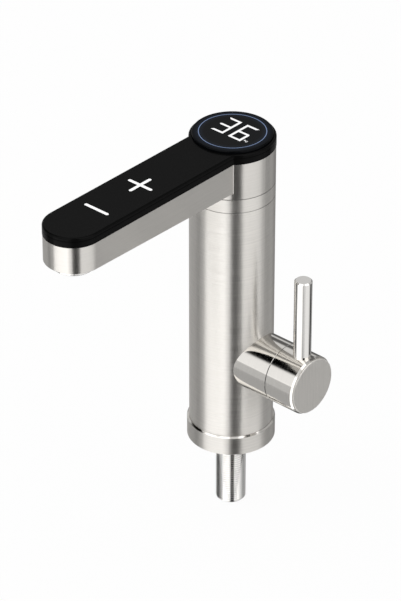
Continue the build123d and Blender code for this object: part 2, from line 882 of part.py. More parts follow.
with BuildPart() as thermal_cutout:
    with BuildSketch(level(tank_bottom)):
        with Locations((-cutout_offset, 0)):
            Circle(cutout_radius)
    extrude(amount=-cutout_rim)
    with BuildSketch(level(tank_bottom)):
        with Locations((-cutout_offset, 0)):
            Circle(cutout_neck)
    extrude(amount=-cutout_height)
thermal_cutout.part.label = "thermal_cutout"
export_step(thermal_cutout.part, "parts/thermal_cutout.step")

with BuildPart() as temperature_probe:
    with BuildSketch(level(tank_bottom)):
        with Locations((probe_offset, 0)):
            Circle(probe_radius)
    extrude(amount=probe_length)
    with BuildSketch(level(tank_bottom)):
        with Locations((probe_offset, 0)):
            RegularPolygon(probe_head_radius, 6)
    extrude(amount=-probe_head_height)
temperature_probe.part.label = "temperature_probe"
export_step(temperature_probe.part, "parts/temperature_probe.step")

with BuildPart() as tank_lid:
    turned(level(tank_top), shell_inner - lid_gap, lid_thickness)
    turned(level(tank_top - lid_plug), tank_radius - tank_wall - seat_gap, lid_plug)
    turned(level(tank_top - lid_plug), post_bore, lid_plug + lid_thickness, Mode.SUBTRACT)
    turned(level(lid_top), post_spigot + seat_gap, -post_spigot_depth, Mode.SUBTRACT)
    with BuildSketch(level(lid_top)):
        with PolarLocations(collar_screw_circle, collar_screw_count, collar_screw_angle):
            Circle(collar_screw_radius + seat_gap)
    extrude(amount=-lid_thickness, mode=Mode.SUBTRACT)
tank_lid.part.label = "tank_lid"
export_step(tank_lid.part, "parts/tank_lid.step")

# Swivel

ring_groove = post_radius + running_gap - face_gap - ring_section
ring_levels = (waterway_z - ring_spacing, waterway_z + ring_spacing - ring_section / 2)

with BuildPart() as swivel_post:
    turned(level(lid_top - post_spigot_depth), post_spigot, post_spigot_depth)
    turned(level(lid_top), post_flange_radius, post_flange_thickness)
    turned(level(lid_top), post_radius, post_top - lid_top)
    turned(
        level(lid_top - post_spigot_depth),
        post_bore,
        waterway_z + post_port + post_bore_past_port - lid_top + post_spigot_depth,
        Mode.SUBTRACT,
    )
    with BuildSketch(level(lid_top)):
        with PolarLocations(collar_screw_circle, collar_screw_count, collar_screw_angle):
            Circle(collar_screw_radius + seat_gap)
    extrude(amount=post_flange_thickness, mode=Mode.SUBTRACT)
    for side in (-1, 1):
        with BuildSketch(Plane(origin=(0, 0, waterway_z), x_dir=(1, 0, 0), z_dir=(0, side, 0))):
            Circle(post_port)
        extrude(amount=2 * post_radius, mode=Mode.SUBTRACT)
    for z in ring_levels:
        with BuildSketch(level(z - ring_section / 2 - seat_gap)):
            Circle(post_radius + cut_margin)
            Circle(ring_groove - face_gap, mode=Mode.SUBTRACT)
        extrude(amount=ring_section + 2 * seat_gap, mode=Mode.SUBTRACT)
    with BuildSketch(level(clip_bottom)):
        Circle(post_radius + cut_margin)
        Circle(post_radius - clip_grip, mode=Mode.SUBTRACT)
    extrude(amount=clip_thickness, mode=Mode.SUBTRACT)
swivel_post.part.label = "swivel_post"
export_step(swivel_post.part, "parts/swivel_post.step")

with BuildPart() as swivel_orings:
    with BuildSketch(Plane.XZ):
        for z in ring_levels:
            with Locations((ring_groove + ring_section / 2, z)):
                Circle(ring_section / 2)
    revolve(axis=Axis.Z)
swivel_orings.part.label = "swivel_orings"
export_step(swivel_orings.part, "parts/swivel_orings.step")

with BuildPart() as swivel_collar:
    with BuildSketch(Plane.XZ):
        with BuildLine():
            Polyline(
                (spigot_radius - spigot_wall, lid_top),
                (spigot_radius, lid_top),
                (spigot_radius, column_top),
                (column_radius, column_top),
                (column_radius, collar_top),
                (column_radius - collar_wall, collar_top),
                (column_radius - collar_wall, web_top),
                (post_radius + seam_gap, web_top),
                (post_radius + seam_gap, web_bottom),
                (spigot_radius - spigot_wall, web_bottom),
                close=True,
            )
        make_face()
    revolve(axis=Axis.Z)
    outside = swivel_collar.faces().filter_by(GeomType.CYLINDER).sort_by(SortBy.RADIUS)[-1]
    chamfer(outside.edges().filter_by(GeomType.CIRCLE), seam_chamfer)
    with BuildSketch(level(web_bottom)):
        with PolarLocations(collar_screw_circle, collar_screw_count, collar_screw_angle):
            Circle(collar_screw_radius + seat_gap)
        with Locations((0, collar_screw_circle)):
            Circle(stop_pin_radius + seat_gap)
    extrude(amount=web_thickness, mode=Mode.SUBTRACT)
swivel_collar.part.label = "swivel_collar"
export_step(swivel_collar.part, "parts/swivel_collar.step")

with BuildPart() as collar_screws:
    with BuildSketch(level(web_top)):
        with PolarLocations(collar_screw_circle, collar_screw_count, collar_screw_angle):
            Circle(collar_screw_radius)
    extrude(amount=tank_top + collar_screw_end_gap - web_top)
    with BuildSketch(level(web_top)):
        with PolarLocations(collar_screw_circle, collar_screw_count, collar_screw_angle):
            Circle(collar_screw_head)
    extrude(amount=collar_screw_head_height)
    with BuildSketch(level(web_top + collar_screw_head_height)):
        with PolarLocations(collar_screw_circle, collar_screw_count, collar_screw_angle):
            RegularPolygon(collar_screw_socket, 6)
    extrude(amount=-collar_screw_socket_depth, mode=Mode.SUBTRACT)
collar_screws.part.label = "collar_screws"
export_step(collar_screws.part, "parts/collar_screws.step")

with BuildPart() as swivel_bush:
    with BuildSketch(level(web_top)):
        Circle(bush_outer)
        Circle(bush_inner, mode=Mode.SUBTRACT)
    extrude(amount=head_bottom - running_gap - web_top)
swivel_bush.part.label = "swivel_bush"
export_step(swivel_bush.part, "parts/swivel_bush.step")

with BuildPart() as stop_pin:
    with BuildSketch(level(web_bottom)):
        with Locations((0, collar_screw_circle)):
            Circle(stop_pin_radius)
    extrude(amount=floor_top - running_gap - web_bottom)
stop_pin.part.label = "stop_pin"
export_step(stop_pin.part, "parts/stop_pin.step")

with BuildPart() as retaining_ring:
    with BuildSketch(level(clip_bottom)):
        Circle(post_radius + clip_reach)
        Circle(post_radius - clip_grip + seat_gap, mode=Mode.SUBTRACT)
        with Locations((0, post_radius + clip_reach)):
            Rectangle(clip_mouth, 2 * (clip_reach + clip_grip), mode=Mode.SUBTRACT)
    extrude(amount=clip_thickness)
retaining_ring.part.label = "retaining_ring"
export_step(retaining_ring.part, "parts/retaining_ring.step")

# Head: one shell for the barrel and the spout, open at the top under the black panel

slot_half_width = stop_pin_radius + stop_pin_play
underside_rise = (spout_depth_root - spout_depth_tip) / spout_reach
spout_end = spout_reach + spout_half_width + cut_margin

with BuildPart() as spout_shell:
    with BuildSketch(level(root_underside)):
        with Locations((0, -spout_reach / 2)):
            Rectangle(2 * spout_half_width, spout_reach)
        with Locations((0, -spout_reach)):
            Circle(spout_half_width)
    extrude(amount=shell_top - root_underside)
    with BuildSketch(Plane.YZ):
        with BuildLine():
            Polyline(
                (0, root_underside),
                (-spout_end, root_underside + spout_end * underside_rise),
                (-spout_end, root_underside - cut_margin),
                (0, root_underside - cut_margin),
                close=True,
            )
        make_face()
    extrude(amount=2 * spout_half_width, both=True, mode=Mode.SUBTRACT)
    fillet(spout_shell.faces().sort_by(Axis.Z)[0].edges(), underside_fillet)
    turned(level(head_bottom), column_radius, barrel_height)
    chamfer(
        spout_shell.edges().filter_by(GeomType.CIRCLE).sort_by(Axis.Z)[0], seam_chamfer / 2
    )
    corners = spout_shell.edges().filter_by(Axis.Z).filter_by(
        lambda edge: abs(abs(edge.center().X) - spout_half_width) < edge_tolerance
        and edge.center().Y > -column_radius
        and edge.length > spout_depth_tip - cut_margin
    )
    fillet(corners, corner_fillet)
    turned(level(floor_top), shell_inner, barrel_height, Mode.SUBTRACT)
    with BuildSketch(level(arm_floor)):
        with Locations((0, -spout_reach / 2)):
            Rectangle(2 * (spout_half_width - spout_wall), spout_reach)
        with Locations((0, -spout_reach)):
            Circle(spout_half_width - spout_wall)
    extrude(amount=shell_top - arm_floor, mode=Mode.SUBTRACT)
    turned(level(head_bottom), post_radius + seam_gap, head_floor, Mode.SUBTRACT)
    with BuildSketch(level(head_bottom)):
        with BuildLine() as track:
            CenterArc((0, 0), collar_screw_circle, 90 - swivel_limit, 2 * swivel_limit)
        SlotArc(track.edge(), 2 * slot_half_width)
    extrude(amount=head_floor, mode=Mode.SUBTRACT)
    with BuildSketch(level(head_bottom)):
        for side in (-1, 1):
            with Locations((side * hub_screw_spread, hub_screw_y)):
                Circle(hub_screw_radius + seat_gap)
    extrude(amount=head_floor, mode=Mode.SUBTRACT)
    with BuildSketch(level(tip_underside - cut_margin)):
        with Locations((0, -spout_reach)):
            Circle(aerator_radius + aerator_clear)
    extrude(amount=2 * cut_margin + spout_wall, mode=Mode.SUBTRACT)
spout_shell.part.label = "spout_shell"
export_step(spout_shell.part, "parts/spout_shell.step")

# Waterway through the head

port_level = waterway_z - hub_groove_height / 2

with BuildPart() as spout_hub:
    turned(level(floor_top), hub_outer, hub_top - floor_top)
    turned(along_spout(0), hub_outlet_radius, hub_outlet_reach)
    with BuildSketch(level(floor_top)):
        with Locations((0, -hub_foot_reach / 2)):
            Rectangle(hub_foot_width, hub_foot_reach)
    extrude(amount=hub_foot_thickness)
    turned(level(floor_top), post_radius + running_gap, hub_top - floor_top, Mode.SUBTRACT)
    turned(level(port_level), post_radius + hub_groove, hub_groove_height, Mode.SUBTRACT)
    turned(along_spout(post_radius), water_bore, hub_outlet_reach, Mode.SUBTRACT)
    turned(along_spout(tube_start), tube_radius + seat_gap, hub_outlet_reach, Mode.SUBTRACT)
    with BuildSketch(level(floor_top)):
        for side in (-1, 1):
            with Locations((side * hub_screw_spread, hub_screw_y)):
                Circle(hub_screw_radius + seat_gap)
    extrude(amount=hub_foot_thickness, mode=Mode.SUBTRACT)
spout_hub.part.label = "spout_hub"
export_step(spout_hub.part, "parts/spout_hub.step")

with BuildPart() as hub_screws:
    with BuildSketch(level(floor_top + hub_foot_thickness)):
        for side in (-1, 1):
            with Locations((side * hub_screw_spread, hub_screw_y)):
                Circle(hub_screw_radius)
    extrude(amount=-hub_foot_thickness - head_floor + hub_screw_end_gap)
    with BuildSketch(level(floor_top + hub_foot_thickness)):
        for side in (-1, 1):
            with Locations((side * hub_screw_spread, hub_screw_y)):
                Circle(hub_screw_head)
    extrude(amount=hub_screw_head_height)
hub_screws.part.label = "hub_screws"
export_step(hub_screws.part, "parts/hub_screws.step")

with BuildPart() as waterway_tube:
    turned(along_spout(tube_start), tube_radius, tube_end - tube_start)
    turned(along_spout(tube_start), water_bore, tube_end - tube_start, Mode.SUBTRACT)
waterway_tube.part.label = "waterway_tube"
export_step(waterway_tube.part, "parts/waterway_tube.step")

tip = Location((0, -spout_reach))

with BuildPart() as outlet_block:
    with BuildSketch(level(arm_floor)):
        with Locations(tip):
            Circle(outlet_radius)
    extrude(amount=waterway_z + tube_radius + outlet_roof - arm_floor)
    with BuildSketch(level(arm_floor)):
        with Locations(tip):
            Circle(aerator_thread + seat_gap)
    extrude(amount=seal_top - arm_floor, mode=Mode.SUBTRACT)
    with BuildSketch(level(seal_top)):
        with Locations(tip):
            Circle(aerator_bore)
    extrude(amount=2 * (water_bore + outlet_step), mode=Mode.SUBTRACT)
    turned(along_spout(0), water_bore, spout_reach, Mode.SUBTRACT)
    turned(along_spout(0), tube_radius + seat_gap, tube_end, Mode.SUBTRACT)
outlet_block.part.label = "outlet_block"
export_step(outlet_block.part, "parts/outlet_block.step")

with BuildPart() as aerator_housing:
    with BuildSketch(level(aerator_bottom)):
        with Locations(tip):
            Circle(aerator_radius)
    extrude(amount=aerator_shoulder - aerator_bottom)
    chamfer(aerator_housing.edges().sort_by(Axis.Z)[0], aerator_chamfer)
    with BuildSketch(level(aerator_shoulder)):
        with Locations(tip):
            Circle(aerator_thread)
    extrude(amount=aerator_thread_length)
    with BuildSketch(level(aerator_bottom)):
        with Locations(tip):
            Circle(aerator_bore)
    extrude(amount=thread_top - aerator_bottom, mode=Mode.SUBTRACT)
aerator_housing.part.label = "aerator_housing"
export_step(aerator_housing.part, "parts/aerator_housing.step")

with BuildPart() as aerator_insert:
    with BuildSketch(level(aerator_bottom + aerator_recess)):
        with Locations(tip):
            Circle(aerator_bore - seat_gap)
    extrude(amount=thread_top - aerator_bottom - aerator_recess)
    with BuildSketch(level(aerator_bottom + aerator_recess + mesh_thickness)):
        with Locations(tip):
            Circle(aerator_bore - seat_gap - insert_wall)
    extrude(amount=thread_top - aerator_bottom, mode=Mode.SUBTRACT)
    with BuildSketch(level(aerator_bottom + aerator_recess)):
        with Locations(tip):
            with HexLocations(mesh_pitch / 2, mesh_side_count, mesh_side_count):
                Circle(mesh_hole)
            Circle(aerator_bore - seat_gap - insert_wall, mode=Mode.INTERSECT)
    extrude(amount=mesh_thickness, mode=Mode.SUBTRACT)
aerator_insert.part.label = "aerator_insert"
export_step(aerator_insert.part, "parts/aerator_insert.step")

with BuildPart() as aerator_seal:
    with BuildSketch(level(thread_top)):
        with Locations(tip):
            Circle(aerator_thread)
            Circle(aerator_thread - seal_width, mode=Mode.SUBTRACT)
    extrude(amount=seal_height)
aerator_seal.part.label = "aerator_seal"
export_step(aerator_seal.part, "parts/aerator_seal.step")

# Black panel over the head

with BuildPart() as panel_gasket:
    with BuildSketch(level(shell_top)):
        head_outline(column_radius - seam_gap, spout_half_width - seam_gap)
    extrude(amount=gasket_film)
    with BuildSketch(level(shell_top)):
        head_outline(shell_inner, spout_half_width - spout_wall)
    extrude(amount=gasket_film, mode=Mode.SUBTRACT)
panel_gasket.part.label = "panel_gasket"
export_step(panel_gasket.part, "parts/panel_gasket.step")

screw_rows = (-touch_board_start - board_screw_inset, -touch_board_end + board_screw_inset)
board_screw_places = [(side * board_screw_x, y) for side in (-1, 1) for y in screw_rows]
touch_board_middle = -(touch_board_start + touch_board_end) / 2
touch_board_length = touch_board_end - touch_board_start


def key_marks_outline():
    """The plus and the minus printed on the panel, with rounded stroke ends."""
    with Locations((0, plus_y)):
        SlotOverall(mark_length, mark_stroke)
        SlotOverall(mark_length, mark_stroke, rotation=90)
    with Locations((0, minus_y)):
        SlotOverall(mark_length, mark_stroke)


with BuildPart() as touch_panel:
    with BuildSketch(level(panel_bottom)):
        head_outline(column_radius + panel_overhang, spout_half_width + panel_overhang)
    extrude(amount=panel_height)
    fillet(touch_panel.faces().sort_by(Axis.Z)[-1].edges(), panel_fillet)
    with BuildSketch(level(panel_surface - panel_slab)):
        head_outline(column_radius + panel_overhang, spout_half_width + panel_overhang)
        offset(amount=-panel_groove, mode=Mode.SUBTRACT)
    extrude(amount=-panel_groove, mode=Mode.SUBTRACT)
    with BuildSketch(level(lip_bottom)):
        head_outline(shell_inner - seat_gap, spout_half_width - spout_wall - seat_gap)
    extrude(amount=panel_bottom - lip_bottom)
    with BuildSketch(level(lip_bottom)):
        head_outline(pocket_barrel, pocket_half_width)
    extrude(amount=ledge_bottom - lip_bottom, mode=Mode.SUBTRACT)
    with BuildSketch(level(ledge_bottom)):
        with Locations((0, touch_board_middle)):
            Rectangle(2 * touch_shelf, touch_board_length)
    extrude(amount=ceiling - ledge_bottom, mode=Mode.SUBTRACT)
    turned(level(lens_bottom), lens_radius + lens_gap, panel_top, Mode.SUBTRACT)
    turned(level(ledge_bottom), lens_radius - lens_seat, lens_seat_thickness, Mode.SUBTRACT)
    with BuildSketch(level(ledge_bottom)):
        with Locations(*board_screw_places):
            Circle(board_screw_radius)
    extrude(amount=board_screw_bite, mode=Mode.SUBTRACT)
    with BuildSketch(level(panel_surface - inlay_depth)):
        key_marks_outline()
    extrude(amount=inlay_depth, mode=Mode.SUBTRACT)
touch_panel.part.label = "touch_panel"
export_step(touch_panel.part, "parts/touch_panel.step")

with BuildPart() as key_marks:
    with BuildSketch(level(panel_surface - inlay_depth)):
        key_marks_outline()
    extrude(amount=inlay_depth)
key_marks.part.label = "key_marks"
export_step(key_marks.part, "parts/key_marks.step")

with BuildPart() as touch_board:
    with BuildSketch(level(ledge_bottom - board_thickness)):
        with Locations((0, touch_board_middle)):
            Rectangle(touch_board_width, touch_board_length)
        with Locations(*board_screw_places):
            Circle(board_screw_radius + seat_gap, mode=Mode.SUBTRACT)
    extrude(amount=board_thickness)
touch_board.part.label = "touch_board"
export_step(touch_board.part, "parts/touch_board.step")

with BuildPart() as touch_pads:
    with BuildSketch(level(ledge_bottom)):
        with Locations((0, plus_y), (0, minus_y)):
            Circle(pad_radius)
    extrude(amount=ceiling - ledge_bottom)
touch_pads.part.label = "touch_pads"
export_step(touch_pads.part, "parts/touch_pads.step")

with BuildPart() as board_screws:
    with BuildSketch(level(ledge_bottom - board_thickness)):
        with Locations(*board_screw_places):
            Circle(board_screw_head)
    extrude(amount=-board_screw_head_height)
    with BuildSketch(level(ledge_bottom - board_thickness)):
        with Locations(*board_screw_places):
            Circle(board_screw_radius)
    extrude(amount=board_thickness + board_screw_bite - seat_gap)
board_screws.part.label = "board_screws"
export_step(board_screws.part, "parts/board_screws.step")

# Display


def segments(left, names):
    """The lit bars of one seven-segment figure, mitred where they meet, as a to g from the top."""
    w = digit_width
    h = digit_height
    m = digit_middle
    s = digit_stroke
    bars = {
        "a": [(0, h), (w, h), (w - s, h - s), (s, h - s)],
        "b": [(w, h), (w, m), (w - s, m), (w - s, h - s)],
        "c": [(w, m), (w, 0), (w - s, s), (w - s, m)],
        "d": [(0, 0), (s, s), (w - s, s), (w, 0)],
        "e": [(0, 0), (0, m), (s, m), (s, s)],
        "f": [(0, m), (0, h), (s, h - s), (s, m)],
        "g": [
            (0, m),
            (s / 2, m + s / 2),
            (w - s / 2, m + s / 2),
            (w, m),
            (w - s / 2, m - s / 2),
            (s / 2, m - s / 2),
        ],
    }
    for name in names:
        Polygon(*[(left + x, digit_bottom + y) for x, y in bars[name]], align=None)


def digits_outline():
    """The figures 3 and 6, and a small degree sign and C."""
    segments(digit_three_left, "abgcd")
    segments(digit_six_left, "afgedc")
    with Locations(degree_place):
        Circle(degree_radius)
        Circle(degree_radius - degree_stroke, mode=Mode.SUBTRACT)
    with Locations(celsius_place):
        Circle(celsius_radius)
        Circle(celsius_radius - degree_stroke, mode=Mode.SUBTRACT)
    with Locations((celsius_place[0] + celsius_radius, celsius_place[1])):
        Rectangle(2 * celsius_radius, celsius_mouth, mode=Mode.SUBTRACT)


def light_ring_outline():
    """The thin lit ring round the figures."""
    Circle(light_ring_radius + light_ring_width / 2)
    Circle(light_ring_radius - light_ring_width / 2, mode=Mode.SUBTRACT)


with BuildPart() as display_lens:
    turned(level(lens_bottom), lens_radius, lens_top - lens_bottom)
    fillet(display_lens.edges().sort_by(Axis.Z)[-1], lens_fillet)
    with BuildSketch(level(lens_top - inlay_depth)):
        light_ring_outline()
    extrude(amount=inlay_depth, mode=Mode.SUBTRACT)
    with BuildSketch(level(lens_top - inlay_depth)):
        digits_outline()
    extrude(amount=inlay_depth, mode=Mode.SUBTRACT)
display_lens.part.label = "display_lens"
export_step(display_lens.part, "parts/display_lens.step")

with BuildPart() as light_ring:
    with BuildSketch(level(lens_top - inlay_depth)):
        light_ring_outline()
    extrude(amount=inlay_depth)
light_ring.part.label = "light_ring"
export_step(light_ring.part, "parts/light_ring.step")

with BuildPart() as display_digits:
    with BuildSketch(level(lens_top - inlay_depth)):
        digits_outline()
    extrude(amount=inlay_depth)
display_digits.part.label = "display_digits"
export_step(display_digits.part, "parts/display_digits.step")

with BuildPart() as display_board:
    turned(level(ledge_bottom - board_thickness), pocket_barrel - display_board_gap, board_thickness)
    turned(level(ledge_bottom), light_ring_radius + board_edge, lens_seat_thickness)
    turned(level(ledge_bottom), light_ring_radius - board_edge, lens_seat_thickness, Mode.SUBTRACT)
    with BuildSketch(level(ledge_bottom)):
        with Locations(((digit_three_left + digit_six_left + digit_width) / 2, 0)):
            Rectangle(digit_six_left - digit_three_left + digit_width, digit_height)
    extrude(amount=lens_seat_thickness)
display_board.part.label = "display_board"
export_step(display_board.part, "parts/display_board.step")
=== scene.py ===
"""An electric instant water heater tap: brushed steel column, swivelling head with a black touch panel,
side lever and threaded stem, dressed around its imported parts."""

import json
import math

import bmesh
import bpy
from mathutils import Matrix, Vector


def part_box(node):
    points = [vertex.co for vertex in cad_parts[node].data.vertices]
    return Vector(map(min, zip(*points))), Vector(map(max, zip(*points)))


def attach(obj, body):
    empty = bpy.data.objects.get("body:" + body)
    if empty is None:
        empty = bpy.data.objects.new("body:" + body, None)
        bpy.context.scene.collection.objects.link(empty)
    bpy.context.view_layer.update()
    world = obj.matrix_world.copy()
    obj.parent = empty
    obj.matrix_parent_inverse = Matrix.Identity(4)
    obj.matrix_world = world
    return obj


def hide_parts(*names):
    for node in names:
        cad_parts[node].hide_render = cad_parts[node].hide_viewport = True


bl_info = {
    "name": "Instant Water Heater Tap",
    "version": (1, 0, 0),
    "blender": (4, 5, 0),
    "location": "View3D > Sidebar > Heater Tap",
    "description": "Finishes and detailed pieces for an electric instant water heater tap",
    "category": "Add Mesh",
}

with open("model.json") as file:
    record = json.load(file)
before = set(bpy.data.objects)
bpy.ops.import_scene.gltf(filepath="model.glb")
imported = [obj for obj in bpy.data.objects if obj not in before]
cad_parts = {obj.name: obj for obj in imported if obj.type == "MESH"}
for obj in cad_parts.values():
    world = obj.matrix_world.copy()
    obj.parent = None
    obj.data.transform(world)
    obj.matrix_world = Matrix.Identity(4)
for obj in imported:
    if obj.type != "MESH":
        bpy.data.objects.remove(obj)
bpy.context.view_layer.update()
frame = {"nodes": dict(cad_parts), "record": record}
MM = 0.001

# Which material slot of the record each CAD piece takes
PIECE_SLOTS = {part["node"]: part["material_slot"] for part in frame["record"]["subparts"]}
HEAD_PIECES = ("spout_shell",)
LEVER_PIECES = ("hub_sleeve", "lever_cap")
FACE_PIECES = ("lever_end_plate",)
FOOT_PIECES = ("base_ring",)
ROD_PIECES = ("lever_rod", "aerator_housing")
WATER_STEEL_PIECES = ("heating_elements", "temperature_probe", "stop_pin", "retaining_ring")

# Brushed lines in millimetres. The real ones are about 0.1 mm apart and would not show, so they are
# drawn coarser. The direction across them leans a little, so that it never stands straight on a face.
LINE_WIDTH = 0.8
LINE_LENGTH = 36
BELT_LINE_LENGTH = 40
STREAK_LENGTH = 8
STREAK_DEPTH = 0.08
ACROSS_LEAN = 0.02
Y_AXIS, Z_AXIS = 1, 2

# The middle of a noise, where nearly all of its values lie
NOISE_LOW, NOISE_HIGH = 0.3, 0.7

# How far the roughness varies: a share of a line's contrast, and shares of a metal's or a plastic's own
LINE_SWING = 0.9
METAL_SWING = 0.25
PLASTIC_SWING = 0.15

# Roughness of finely turned and of polished steel, and the dim gloss of the black panel and lens
TURNED_FINE = 0.09
POLISHED = 0.07
DARK_GLOSS = 0.05

# Width in millimetres and level of the painted shade beside a seam, level of the painted shade in the
# thread's roots, and strength of the display's light in its lens: along the ring, with its reach in
# millimetres, and inside
PAINTED_SEAM_SHADE_WIDTH = 0.2
PAINTED_SEAM_SHADE_LEVEL = 0.55
PAINTED_ROOT_SHADE_LEVEL = 0.8
RING_GLOW = 0.035
RING_REACH = 4.5
DISPLAY_BLEED = 0.005
BLEED_FADE = 2

# Size in millimetres of the pattern of tracks on a circuit board, and its shape as shares of that
TRACK_CELL = 5
TRACK_WIDTH = 0.06
TRACK_LENGTH = 1.4
TRACK_SPACING = 0.28

# Steps round the helix and round spun pieces, spare length of a cutting shape and overlap of joined
# shapes in millimetres, and the distance in metres below which points are one
THREAD_STEPS = 48
STEM_STEPS = 96
INSERT_STEPS = 72
CUT_SPARE = 1.0
JOIN_OVERLAP = 0.2
WELD = 1e-6

# The aerator's insert in millimetres: wall and bevel of its ring, and height and wire of its gauze,
# with the share of the wall that stays outside the gauze
INSERT_WALL = 1.0
INSERT_BEVEL = 0.3
GAUZE_HEIGHT = 0.8
GAUZE_WIRE = 0.28
GAUZE_MARGIN = 0.4

# Middle of the view in millimetres, to the right of and above the origin as the camera sees it, the
# width of the camera's frame in millimetres, and the nearest and farthest it shows, in metres
CAMERA_AIM = (-21.16, 89.88)
FRAME_WIDTH = 36.0
CLIP_NEAR, CLIP_FAR = 0.1, 50

# The floor's radius in metres, its steps, and how much of it is plain white to the camera, and the
# soft lamp's place and size in metres and power in watts
FLOOR_RADIUS = 6.0
FLOOR_STEPS = 96
FLOOR_WHITE = 0.94
LAMP_PLACE = (-0.9, -1.1, 1.6)
LAMP_SIZE = 1.4
LAMP_POWER = 6.0

# The studio's light tent as the metal sees it. Each card runs from one azimuth to another, counted from
# the camera towards the right of the view, and from one height to another, with a soft edge, all in
# degrees. The last number is its brightness, where 1 is white. Later cards hang in front of earlier ones.
TENT_CARDS = (
    ("left wall", -168, -82, -90, 90, 10, 0.45),
    ("left middle panel", -150, -90, -18, 18, 6, 0.7),
    ("left top panel", -168, -90, 66, 90, 6, 0.9),
    ("key panel", -82, -4, -90, 90, 8, 1.72),
    ("key shade", -100, -75, -90, 4, 6, 0.45),
    ("key shade edge", -84, -70, -20, 3, 5, 0.6),
    ("key corner", -100, -71, 4, 40, 5, 1.05),
    ("key gap", -66, -22, 6, 28, 12, 1.0),
    ("key fall", -17, -4, -60, 5, 6, 1.0),
    ("front flag", -4, 27, -90, 43, 7, 0.0),
    ("front gap", -6, 29, -34, -30.6, 3, 0.78),
    ("front slit", 1, 5, -50, -10, 3, 0.2),
    ("right panel", 27, 82, -90, 8, 8, 0.92),
    ("right top panel", 24, 82, 8, 90, 8, 1.7),
    ("right wall", 82, 126, -90, 90, 8, 0.52),
    ("right far wall", 126, 168, -90, 30, 10, 0.28),
    ("left floor flag", -110, -95, -37, -29, 3, 0.0),
    ("right floor flag", 100, 122, -36, -29, 3, 0.0),
    ("left flag", -150, -85, 20, 63, 5, 0.0),
    ("right flag", 114, 142, 32, 54, 6, 0.15),
    ("back slit", 168, 192, -90, 2, 8, 0.12),
    ("back flag", 168, 192, 12, 30, 8, 0.12),
)

# Brightness where no card hangs, and the even level that dull surfaces are lit by
TENT_LEVEL = 0.78
DIFFUSE_LEVEL = 0.8


def linear(code):
    """Turns a six digit sRGB hex colour into the linear colour that Blender's sockets take."""
    channels = [int(code[at : at + 2], 16) / 255 for at in (0, 2, 4)]
    return tuple(c / 12.92 if c <= 0.04045 else ((c + 0.055) / 1.055) ** 2.4 for c in channels)


def add_node(tree, kind, sockets=None, **settings):
    """Adds one node: settings are its options, and sockets its inputs, each a value or a link."""
    node = tree.nodes.new(kind)
    for name, value in settings.items():
        setattr(node, name, value)
    for name, value in (sockets or {}).items():
        if isinstance(value, bpy.types.NodeSocket):
            tree.links.new(value, node.inputs[name])
        else:
            node.inputs[name].default_value = value
    return node


def start_material(name):
    """Makes an empty node material with an output and one principled shader."""
    material = bpy.data.materials.new(name)
    material.use_nodes = True
    tree = material.node_tree
    tree.nodes.clear()
    shader = add_node(tree, "ShaderNodeBsdfPrincipled")
    add_node(tree, "ShaderNodeOutputMaterial", {"Surface": shader.outputs[0]})
    return material, tree, shader


def shader_of(material):
    """The principled shader of a finished material."""
    return next(node for node in material.node_tree.nodes if node.bl_idname == "ShaderNodeBsdfPrincipled")


def grain_of(tree, cell, detail=3.0):
    """Noise on object coordinates whose cell has the given size in millimetres on each axis."""
    place = add_node(tree, "ShaderNodeTexCoord").outputs["Object"]
    scale = tuple(1 / (size * MM) for size in cell)
    scaled = add_node(tree, "ShaderNodeMapping", {"Vector": place, "Scale": scale}).outputs[0]
    noise = add_node(
        tree, "ShaderNodeTexNoise", {"Vector": scaled, "Scale": 1.0, "Detail": detail, "Roughness": 0.6}
    )
    return noise.outputs[0]


def spread(tree, grain, low, high):
    """Stretches the middle of a grain's noise onto the range from low to high."""
    return add_node(
        tree, "ShaderNodeMapRange",
        {"Value": grain, "From Min": NOISE_LOW, "From Max": NOISE_HIGH, "To Min": low, "To Max": high},
    ).outputs[0]


def shaded(tree, colour, factor):
    """Multiplies a colour, fixed or already varied, by a factor that varies over the surface."""
    if not isinstance(colour, bpy.types.NodeSocket):
        colour = tuple(colour)[:3]
    return add_node(tree, "ShaderNodeVectorMath", {0: colour, 1: factor}, operation="MULTIPLY").outputs[0]


def object_height(tree):
    """Height above the deck plane, in metres."""
    place = add_node(tree, "ShaderNodeTexCoord").outputs["Object"]
    return add_node(tree, "ShaderNodeSeparateXYZ", {0: place}).outputs[2]


def axis_distance(tree):
    """Distance from the tap's vertical axis, in metres."""
    place = add_node(tree, "ShaderNodeTexCoord").outputs["Object"]
    flat = add_node(tree, "ShaderNodeVectorMath", {0: place, 1: (1, 1, 0)}, operation="MULTIPLY").outputs[0]
    return add_node(tree, "ShaderNodeVectorMath", {0: flat}, operation="LENGTH").outputs["Value"]


def distance_from(tree, value, middle):
    """How far a value lies from a middle, to either side."""
    away = add_node(tree, "ShaderNodeMath", {0: value, 1: middle}, operation="SUBTRACT").outputs[0]
    return add_node(tree, "ShaderNodeMath", {0: away}, operation="ABSOLUTE").outputs[0]


def painted_seam_shade(tree, colour, heights):
    """Darkens a colour beside round seams at the given heights: painted shade of the narrow gap between the
    parts.
    """
    height = object_height(tree)
    for seam in heights:
        shade = add_node(
            tree, "ShaderNodeMapRange",
            {
                "Value": distance_from(tree, height, seam), "From Min": PAINTED_SEAM_SHADE_WIDTH * MM,
                "From Max": 2 * PAINTED_SEAM_SHADE_WIDTH * MM, "To Min": PAINTED_SEAM_SHADE_LEVEL,
            },
        ).outputs[0]
        colour = shaded(tree, colour, shade)
    return colour


def ring_glow(tree, radius):
    """Light that spreads inside a clear layer on both sides of a ring round the vertical axis."""
    away = distance_from(tree, axis_distance(tree), radius)
    return add_node(
        tree, "ShaderNodeMapRange",
        {"Value": away, "From Min": RING_REACH * MM, "From Max": 0.0, "To Min": 0.0, "To Max": RING_GLOW},
        interpolation_type="SMOOTHSTEP",
    ).outputs[0]


